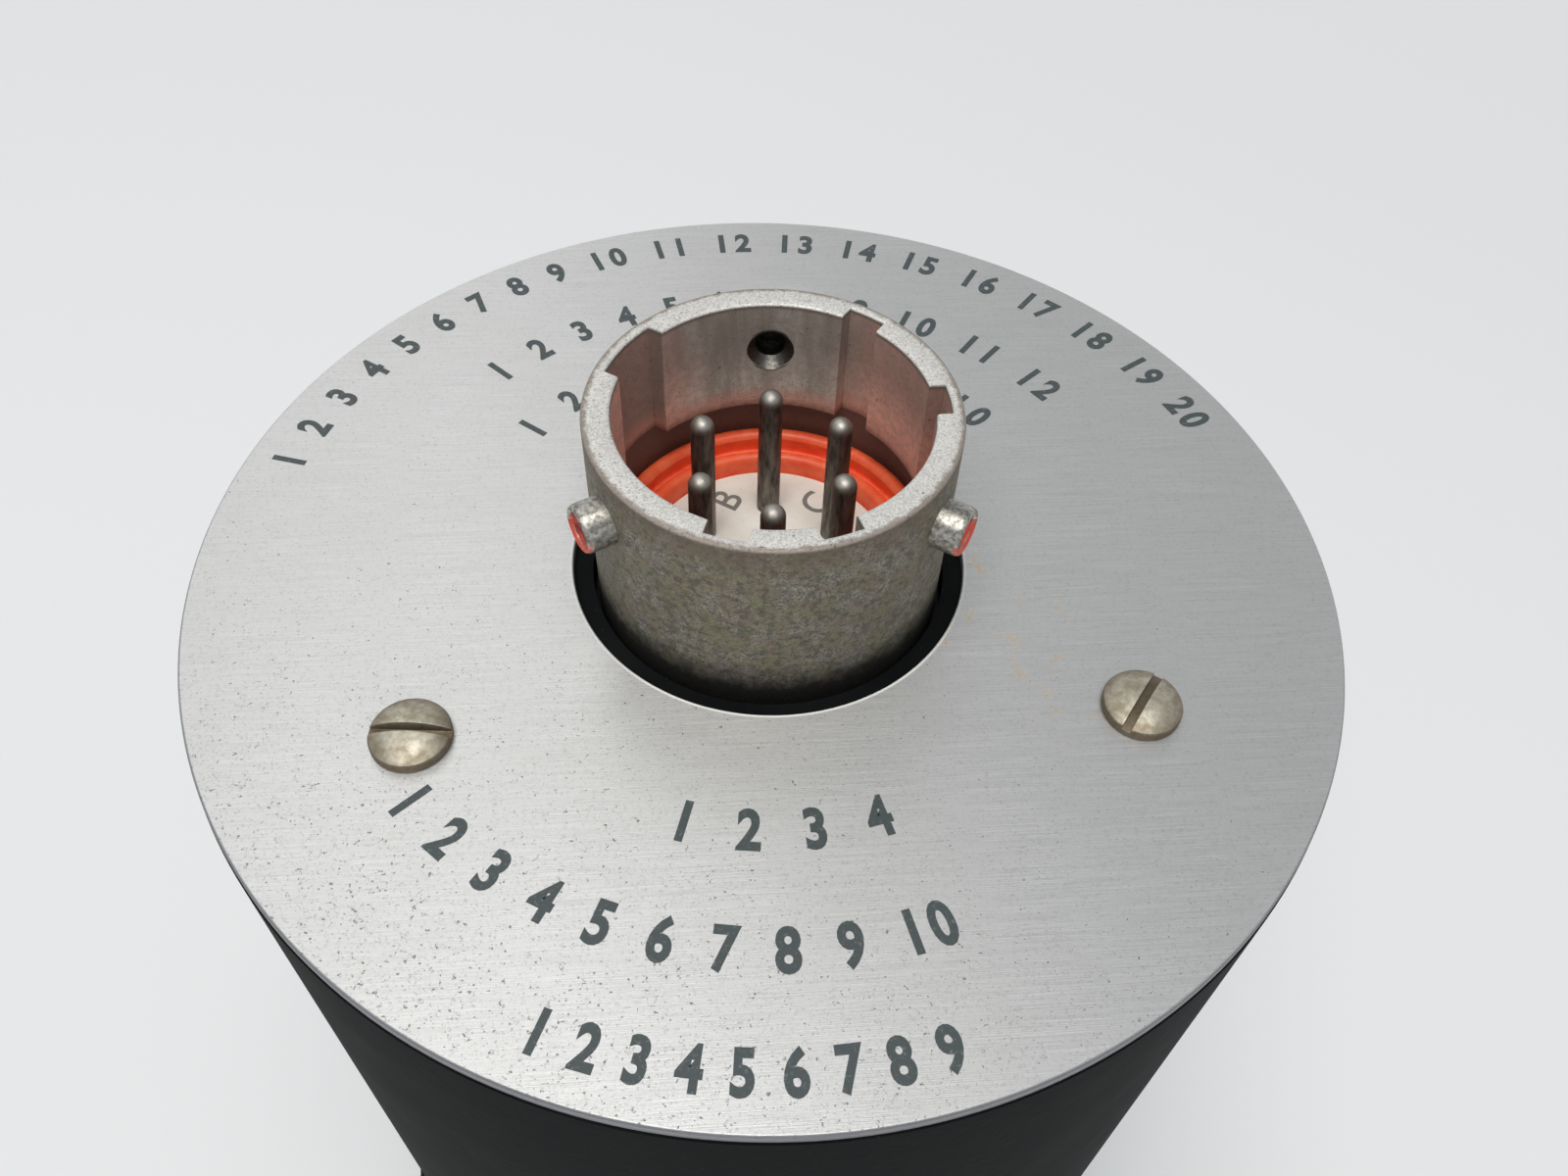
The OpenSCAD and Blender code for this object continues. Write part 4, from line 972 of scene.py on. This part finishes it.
# %% Printing on an arc
def sign_mesh(sign, height, narrow, thick):
    put_away()
    bpy.ops.object.text_add(location=(0, 0, 0))
    text = bpy.context.object
    text.data.body = sign
    text.data.align_x = "CENTER"
    text.data.size = height / 0.73 * MM
    text.data.offset = thick * MM
    text.data.resolution_u = 4
    text.data.extrude = 0.003 * MM
    bpy.ops.object.convert(target="MESH")
    piece = bpy.context.object
    piece.scale = (narrow, 1, 1)
    bake_place()
    return piece


def print_arc(words, r, first, last, height, level, outward):
    printed = []
    for number, sign in enumerate(words):
        if sign == " ":
            continue
        angle = first + (last - first) * number / (len(words) - 1)
        piece = sign_mesh(sign, height, 0.80, 0.085)
        foot = on_circle(r if outward else r + height, angle, level)
        printed.append(place(piece, turn=(0, 0, angle - 90 if outward else angle + 90), move=foot))
    return printed


# %% [markdown]
# ## The printed rows of the plate
#
# The real plate carries rows of print on arcs round the socket. Here the rows hold plain counting
# numbers, evenly spaced, in the same dark green-grey ink, at the same radii and of the same size.
# Each row is given as its last number, radius, first and last angle, height, and whether the tops
# point outward.

# %% Rows of counting numbers
ink_level = plate_top + 0.004
rows = [
    (20, 22.0, 163.0, 20.0, 1.55, True),
    (12, 17.0, 135.0, 35.0, 1.55, True),
    (10, 12.9, 142.0, 38.0, 1.5, True),
    (4, 12.8, -107.0, -76.0, 1.7, False),
    (10, 17.5, -140.5, -74.0, 1.7, False),
    (9, 21.8, -113.5, -78.0, 1.6, False)]
ink_pieces = []
for count, r, first, last, height, outward in rows:
    words = " ".join(str(n) for n in range(1, count + 1))
    ink_pieces += print_arc(words, r, first, last, height, ink_level, outward)
plate_print = joined(ink_pieces, "rear_plate_print")


# %% Finish of the ink
def printing_ink(name, colour, worn):
    material, flat = new_finish(name, colour, 0.0, 0.5)
    finished(material, layer(colour, noise(flat, 5.0, 4.0, 0.7), 0.56, 0.72, 0.55, worn),
             bump=(noise(flat, 8.0), 0.01))


printing_ink("plate_ink", (0.050, 0.064, 0.066), (0.25, 0.265, 0.26))
fit(plate_print, "housing", "bright_plate", ink="plate_ink")

# %% Letters of the contacts
letter_h = 1.45
letter_circle_r = 4.15
contact_letters = []
for number, letter in enumerate("CBAFED"):
    piece = place(sign_mesh(letter, letter_h, 0.92, 0.02), move=(0, -0.72, 0))
    spot = on_circle(letter_circle_r, key_angle - 92 + 60 * number, insert_z + 0.004)
    contact_letters.append(place(piece, turn=(0, 0, key_angle - 90), move=spot))
letters = joined(contact_letters, "contact_letters")
printing_ink("letter_ink", (0.21, 0.205, 0.185), (0.52, 0.49, 0.44))
fit(letters, "housing", "insert_white", ink="letter_ink")

# %% [markdown]
# ## Slotted screws
#
# The two screws have a low side and a crowned top. Half the head's section is drawn as an arc and
# spun, then the slot is cut with a blade as wide as the real one. Each screw stopped at its own
# angle, so the slots point in different directions.

# %% Rear screws
head_r = 1.61
head_side = 0.45
head_round = 0.2
crown = 0.40
shank_r = 1.09
shank_length = 9
slot_w = 0.38
slot_depth = 0.55
screw_circle_r = 17
head_top = plate_top + head_side + crown
head_section = [
    (0, plate_top - shank_length), (shank_r, plate_top - shank_length),
    (shank_r, plate_top + 0.002),
    (head_r - 0.08, plate_top + 0.002), (head_r, plate_top + 0.08),
    (head_r, plate_top + head_side - 0.08), (head_r - 0.05, plate_top + head_side + 0.02)]
head_arc = crowned(head_r, crown, head_r - head_round)
head_section += [(r, head_top - drop) for r, drop in reversed(head_arc)]
screws = []
for name, angle, slot_angle in (("rear_screw_a", -148.3, -5), ("rear_screw_b", -31.7, 52)):
    screw = turned(name, head_section, steps=96)
    put_away()
    bpy.ops.mesh.primitive_cube_add(size=MM, location=(0, 0, (head_top - slot_depth + 1) * MM))
    blade = bpy.context.object
    blade.scale = (6, slot_w, 2)
    bake_place()
    cut(screw, blade)
    round_edges(screw, 0.035, 40)
    screws.append(place(screw, turn=(0, 0, slot_angle), move=on_circle(screw_circle_r, angle)))


# %% Finish of the screws
def old_nickel():
    material, flat = new_finish("rear_screw", (0.60, 0.57, 0.50), 0.9, 0.4)
    z = axis_of(flat, "Z")
    mottle = noise(flat, 2.2, 4.0, 0.65)
    fine = noise(flat, 9.0, 3.0, 0.6)
    metal = spread(mottle, 0.36, 0.64, (0.36, 0.32, 0.235), (0.58, 0.545, 0.455))
    # Painted shade: the side of the head, low down near the plate, is darker than the crown.
    metal = layer(metal, z, plate_top + 0.75, plate_top + 0.35, 0.8, (0.14, 0.10, 0.06))
    metal = layer(metal, fine, 0.60, 0.74, 0.5, (0.20, 0.17, 0.13))
    finished(material, metal, ramp(mottle, 0.3, 0.7, 0.60, 0.46), bump=(mottle, 0.02))


old_nickel()
for screw in screws:
    fit(screw, "housing", "rear_screw", "rear_screws")

# %% [markdown]
# ## The bezel and the window
#
# From the front the instrument is a black ring round a window. The ring's section holds the seat of
# the glass, the groove of the snap ring and the spigot that enters the can. The glass is a plain
# disc with broken edges. It is clear, so the dial and the pointer must be finished behind it.

# %% Sizes of the front
bezel_r = radius("bezel")
bezel_end = top("bezel")
flange_back = 4.2
gasket_low, gasket_top = bottom("case_gasket"), top("case_gasket")
glass_r = radius("window_glass")
seat_r = glass_r + 0.15
groove_r = seat_r + 0.7
window_r = glass_r - 1.7
spigot_r = case_r - case_wall - 0.05
spigot_in_r = spigot_r - 2.6
snap_low, snap_top = bottom("window_snap_ring"), top("window_snap_ring")
glass_low, glass_top = bottom("window_glass"), top("window_glass")
shoulder_z = top("glass_gasket")
print("window is", round(2 * window_r, 1), "mm across")

# %% Bezel
bezel = turned("bezel_ring", [
    (window_r, shoulder_z), (seat_r, shoulder_z), (seat_r, snap_top + 0.05),
    (groove_r, snap_top + 0.05), (groove_r, snap_low), (seat_r, snap_low), (seat_r, 0.4),
    (seat_r + 0.9, 0), (bezel_r - 0.8, 0),
    (bezel_r - 0.24, 0.24), (bezel_r, 0.8), (bezel_r, flange_back - 0.3),
    (bezel_r - 0.3, flange_back),
    (case_r + 0.15, flange_back), (case_r + 0.15, gasket_low), (spigot_r, gasket_low),
    (spigot_r, bezel_end - 0.4), (spigot_r - 0.4, bezel_end), (spigot_in_r, bezel_end),
    (spigot_in_r, shoulder_z + 0.5), (window_r, shoulder_z + 0.5)], steps=256)
round_edges(bezel, 0.06)
fit(bezel, "housing", "bezel_paint", "bezel")


# %% Finishes of glass and rubber
def clear_glass():
    material, flat = new_finish("glass", (0.97, 0.99, 0.985), 0.0, 0.03)
    smears = noise(flat, 0.35, 4.0, 0.6)
    clear = {"Transmission Weight": 1.0, "IOR": 1.5, "Specular IOR Level": 0.1}
    finished(material, roughness=ramp(smears, 0.45, 0.8, 0.015, 0.09), others=clear)


def old_rubber():
    fresh, bloomed = (0.018, 0.018, 0.018), (0.065, 0.065, 0.065)
    material, flat = new_finish("black_rubber", fresh, 0.0, 0.75)
    bloom = noise(flat, 0.8, 4.0, 0.6)
    finished(material, layer(fresh, bloom, 0.4, 0.75, 0.5, bloomed),
             bump=(noise(flat, 6.0), 0.02))


clear_glass()
old_rubber()

# %% Glass and case gasket
glass = turned("window_pane", [
    (0, glass_low), (glass_r - 0.25, glass_low), (glass_r, glass_low + 0.25),
    (glass_r, glass_top - 0.25), (glass_r - 0.25, glass_top), (0, glass_top)])
fit(glass, "housing", "glass", "window_glass")
gasket = turned("case_gasket_ring", [
    (spigot_r + 0.05, gasket_low), (case_r - 0.05, gasket_low), (case_r - 0.05, gasket_low + 0.3),
    (case_r - 0.15, gasket_low + 0.5), (case_r - 0.15, gasket_top - 0.15),
    (case_r - 0.05, gasket_top),
    (spigot_r + 0.05, gasket_top)])
fit(gasket, "housing", "black_rubber", "case_gasket")

# %% [markdown]
# ## Dressing a solid that already has the right shape
#
# Some solids only need a kinder edge. Such a solid is copied, its loose triangles are merged, flat
# faces are joined again, and the sharp edges get a small round.


# %% Copying a solid
def refined(node, name, width, body, slot):
    piece = copy_of(frame["nodes"][node], name)
    for key in list(piece.keys()):
        del piece[key]
    piece.parent = None
    alone(piece)
    edit_all()
    bpy.ops.mesh.remove_doubles(threshold=1e-6)
    bpy.ops.mesh.dissolve_limited(angle_limit=radians(1))
    clean_up(piece)
    round_edges(piece, width, 40)
    fit(piece, body, slot, node)
    print(name, len(piece.data.polygons), "faces")


bright_steel("spring_steel", (0.12, 0.12, 0.125), (0.075, 0.075, 0.08), 0.38)
refined("window_snap_ring", "snap_ring", 0.05, "housing", "spring_steel")

# %% [markdown]
# ## The dial
#
# The dial is a flat disc with matt black paint, and its marks and numbers are printed in white. The
# scale runs from 0 at the lower left to 18 at the lower right, with a number at every third
# division. It is read from below in this frame, so the numbers are printed turned over.


# %% Finishes of the dial
def matt_paint(name, colour, other, roughness):
    material, flat = new_finish(name, colour, 0.0, roughness)
    fine = noise(flat, 9.0, 3.0, 0.6)
    broad = noise(flat, 0.3, 3.0, 0.6)
    mixed = plus(times(fine, 0.5), times(broad, 0.5))
    finished(material, spread(mixed, 0.38, 0.62, colour, other),
             ramp(broad, 0.3, 0.7, roughness - 0.05, roughness + 0.08),
             bump=(fine, 0.012), others={"Specular IOR Level": 0.12})


matt_paint("dial_paint", (0.010, 0.010, 0.011), (0.018, 0.018, 0.019), 0.7)
matt_paint("white_paint", (0.76, 0.75, 0.70), (0.84, 0.83, 0.79), 0.55)
matt_paint("pointer_paint", (0.80, 0.79, 0.74), (0.86, 0.85, 0.81), 0.5)

# %% Dial disc
dial_low, dial_top = bottom("dial"), top("dial")
dial_r = radius("dial")
dial_hole_r = 2.43
dial = turned("dial_disc", [
    (dial_hole_r, dial_low), (dial_r - 0.05, dial_low), (dial_r, dial_low + 0.05),
    (dial_r, dial_top - 0.05), (dial_r - 0.05, dial_top), (dial_hole_r, dial_top)])
fit(dial, "housing", "dial_paint", "dial")

# %% Numbers of the dial
scale_zero = 315.0
division = 15.0
number_r = 14.2
number_h = 2.9
dial_numbers = []
for number in range(0, 19, 3):
    piece = place(sign_mesh(str(number), number_h, 0.86, 0.10), move=(0, -number_h / 2, 0))
    spot = on_circle(number_r, scale_zero + number * division, dial_low - 0.006)
    dial_numbers.append(place(piece, turn=(0, 180, 0), move=spot))
numbers = joined(dial_numbers, "dial_numbers")
fit(numbers, "housing", "white_paint")

# %% [markdown]
# ## Pointer, hub cap and the small screws
#
# The pointer is stamped sheet, painted off-white. A black crowned cap hides the end of the shaft.
# The screws that hold the dial have a flat slotted head.

# %% Pointer and cap
refined("pointer", "pointer_blade", 0.05, "rotor", "pointer_paint")
cap_low, cap_top = bottom("pointer_cap"), top("pointer_cap")
cap_r = radius("pointer_cap")
cap_crown = 0.35
dome = [(r, cap_low + rise) for r, rise in crowned(cap_r, cap_crown, cap_r - 0.04)]
cap = turned("pointer_cap_dome", dome + [
    (cap_r, cap_low + cap_crown + 0.05), (cap_r, cap_top), (0, cap_top)], steps=96)
fit(cap, "rotor", "bezel_paint", "pointer_cap")
bright_steel("small_screw", (0.54, 0.54, 0.55), (0.38, 0.38, 0.39), 0.32)
refined("dial_screws", "dial_screw_pair", 0.04, "housing", "small_screw")

# %% [markdown]
# ## Finishes for the pieces inside
#
# The pieces inside the can keep their solids and get the finish that they have on the bench:
# turned aluminium with tool marks, stacked laminations, varnished copper wire, brown laminate and
# plated contacts. Tool marks are rings round the axis, laminations are thin layers along it, and
# the wire is a fine regular ripple with varnish over it.


# %% Turned metal
def turned_metal(name, light, dark, roughness, marks):
    material, flat = new_finish(name, light, 1.0, roughness)
    rings = waves(flat, "RINGS", marks, 1.5, 3.0)
    cloud = noise(flat, 0.6, 4.0, 0.6)
    mixed = plus(times(rings, 0.45), times(cloud, 0.55))
    finished(material, spread(mixed, 0.25, 0.75, dark, light),
             ramp(cloud, 0.3, 0.7, roughness - 0.05, roughness + 0.12), bump=(rings, 0.006))


turned_metal("frame_aluminium", (0.74, 0.75, 0.76), (0.56, 0.57, 0.58), 0.32, 6.0)
turned_metal("synchro_shell", (0.52, 0.53, 0.55), (0.36, 0.37, 0.39), 0.38, 6.0)
turned_metal("shaft_steel", (0.72, 0.72, 0.73), (0.55, 0.55, 0.56), 0.2, 14.0)
turned_metal("bearing_steel", (0.78, 0.78, 0.79), (0.66, 0.66, 0.67), 0.12, 10.0)
turned_metal("brass", (0.80, 0.62, 0.30), (0.58, 0.42, 0.18), 0.3, 8.0)


# %% Laminations and windings
def stacked_sheets():
    material, flat = new_finish("lamination", (0.16, 0.16, 0.17), 0.8, 0.45)
    sheets = waves(flat, "BANDS", 1.6, 0.2, 2.0)
    finished(material, spread(sheets, 0.15, 0.6, (0.06, 0.055, 0.05), (0.26, 0.26, 0.275)),
             bump=(sheets, 0.03))


def varnished_wire():
    material, flat = new_finish("copper_winding", (0.52, 0.17, 0.06), 0.6, 0.3)
    strands = waves(flat, "RINGS", 3.2, 1.2, 2.0)
    shade = noise(flat, 0.9, 3.0, 0.6)
    copper = spread(strands, 0.1, 0.7, (0.18, 0.05, 0.02), (0.68, 0.27, 0.10))
    copper = layer(copper, shade, 0.4, 0.8, 0.5, (0.32, 0.12, 0.05))
    finished(material, copper, bump=(strands, 0.05), others={"Coat Weight": 0.6})


stacked_sheets()
varnished_wire()


# %% Laminate and wire
def brown_laminate():
    material, flat = new_finish("insulation", (0.20, 0.09, 0.035), 0.0, 0.42)
    weave = noise(stretched(flat, (1, 6, 1)), 1.5, 3.0, 0.6)
    cross = noise(stretched(flat, (6, 1, 1)), 1.5, 3.0, 0.6)
    mixed = times(plus(weave, cross), 0.5)
    finished(material, spread(mixed, 0.4, 0.6, (0.13, 0.055, 0.02), (0.27, 0.13, 0.055)),
             bump=(noise(flat, 3.0), 0.01))


def sleeved_wire():
    material, flat = new_finish("wire_insulation", (0.74, 0.70, 0.60), 0.0, 0.5)
    lay = noise(stretched(flat, (1, 1, 0.3)), 5.0, 3.0, 0.6)
    finished(material, spread(lay, 0.35, 0.65, (0.62, 0.57, 0.46), (0.82, 0.79, 0.71)),
             bump=(noise(flat, 7.0), 0.02))


brown_laminate()
sleeved_wire()

# %% Every solid that is still shown gets its finish
dressed = 0
for part in frame["record"]["subparts"]:
    solid = frame["nodes"].get(part["node"]) if "node" in part else None
    if solid is None or solid.hide_render:
        continue
    for material_slot in solid.material_slots:
        material_slot.material = finishes[part["material_slot"]]
    dressed += 1
print("solids dressed:", dressed)

# %% [markdown]
# ## Floor, lamps and world
#
# The setting stays plain: a pale floor, one large soft lamp overhead and a weaker one behind and
# to the left, like a window. Far from the object the floor fades into the pale wall colour that
# the world shows low down, so no horizon cuts the picture. Higher up the room is darker, and the
# brushed plate mirrors that, which is what makes it look like metal and not like white paint.


# %% Floor
def seen_rays(tree):
    """One for rays from the camera, a mirror or glass, and nothing for rays that carry light."""
    rays = add(tree, "LightPath")
    seen = plus(rays.outputs["Is Camera Ray"], rays.outputs["Is Glossy Ray"])
    return maths("MINIMUM", plus(seen, rays.outputs["Is Transmission Ray"]), 1.0)


wall_colour = (0.77, 0.78, 0.79)
floor_r, wall_r = 150, 420
put_away()
bpy.ops.mesh.primitive_plane_add(size=3, location=(0, 0, -0.05 * MM))
floor = bpy.context.object
floor.name = "floor"
floor_finish, flat = new_finish("floor_finish", (0.86, 0.865, 0.87), 0.0, 0.7)
tree = floor_finish.node_tree
far_share = times(seen_rays(tree), ramp(radius_of(flat), floor_r, wall_r))
far_floor = add(tree, "Emission", {"Color": wall_colour, "Strength": 1.0}).outputs["Emission"]
near_floor = tree.nodes["Principled BSDF"].outputs["BSDF"]
blend = add(tree, "MixShader", {0: far_share, 1: near_floor, 2: far_floor}).outputs["Shader"]
floor_output = next(node for node in tree.nodes if node.type == "OUTPUT_MATERIAL")
give(floor_output.inputs["Surface"], blend)
floor.data.materials.append(floor_finish)
print("the floor fades from", floor_r, "to", wall_r, "mm")


# %% Lamps
def soft_lamp(name, place_mm, size_mm, watts, colour):
    put_away()
    bpy.ops.object.light_add(type="AREA", location=Vector(place_mm) * MM)
    lamp = bpy.context.object
    lamp.name = name
    lamp.data.shape = "RECTANGLE"
    lamp.data.size = size_mm[0] * MM
    lamp.data.size_y = size_mm[1] * MM
    lamp.data.energy = watts
    lamp.data.color = colour
    aim = Vector((0, 0, 70)) * MM - lamp.location
    lamp.rotation_euler = aim.to_track_quat("-Z", "Y").to_euler()
    print(name, "gives", watts, "W")


soft_lamp("window_light", (-250, 470, 750), (540, 460), 1.0, (1, 0.985, 0.96))
soft_lamp("overhead_light", (-70, -220, 840), (540, 540), 5.0, (1, 0.98, 0.95))

# %% World
world = bpy.data.worlds.new("plain_room")
bpy.context.scene.world = world
world.use_nodes = True
room = world.node_tree
background = room.nodes["Background"]
height = axis_of(add(room, "TexCoord").outputs["Generated"], "Z")
wall_share = times(seen_rays(room), ramp(height, 0.6, 0.3))
give(background.inputs["Color"], tint(wall_share, (0.285, 0.307, 0.33), wall_colour))
give(background.inputs["Strength"], 1.0)
bpy.context.scene.view_settings.view_transform = "Standard"
print("room:", world.name)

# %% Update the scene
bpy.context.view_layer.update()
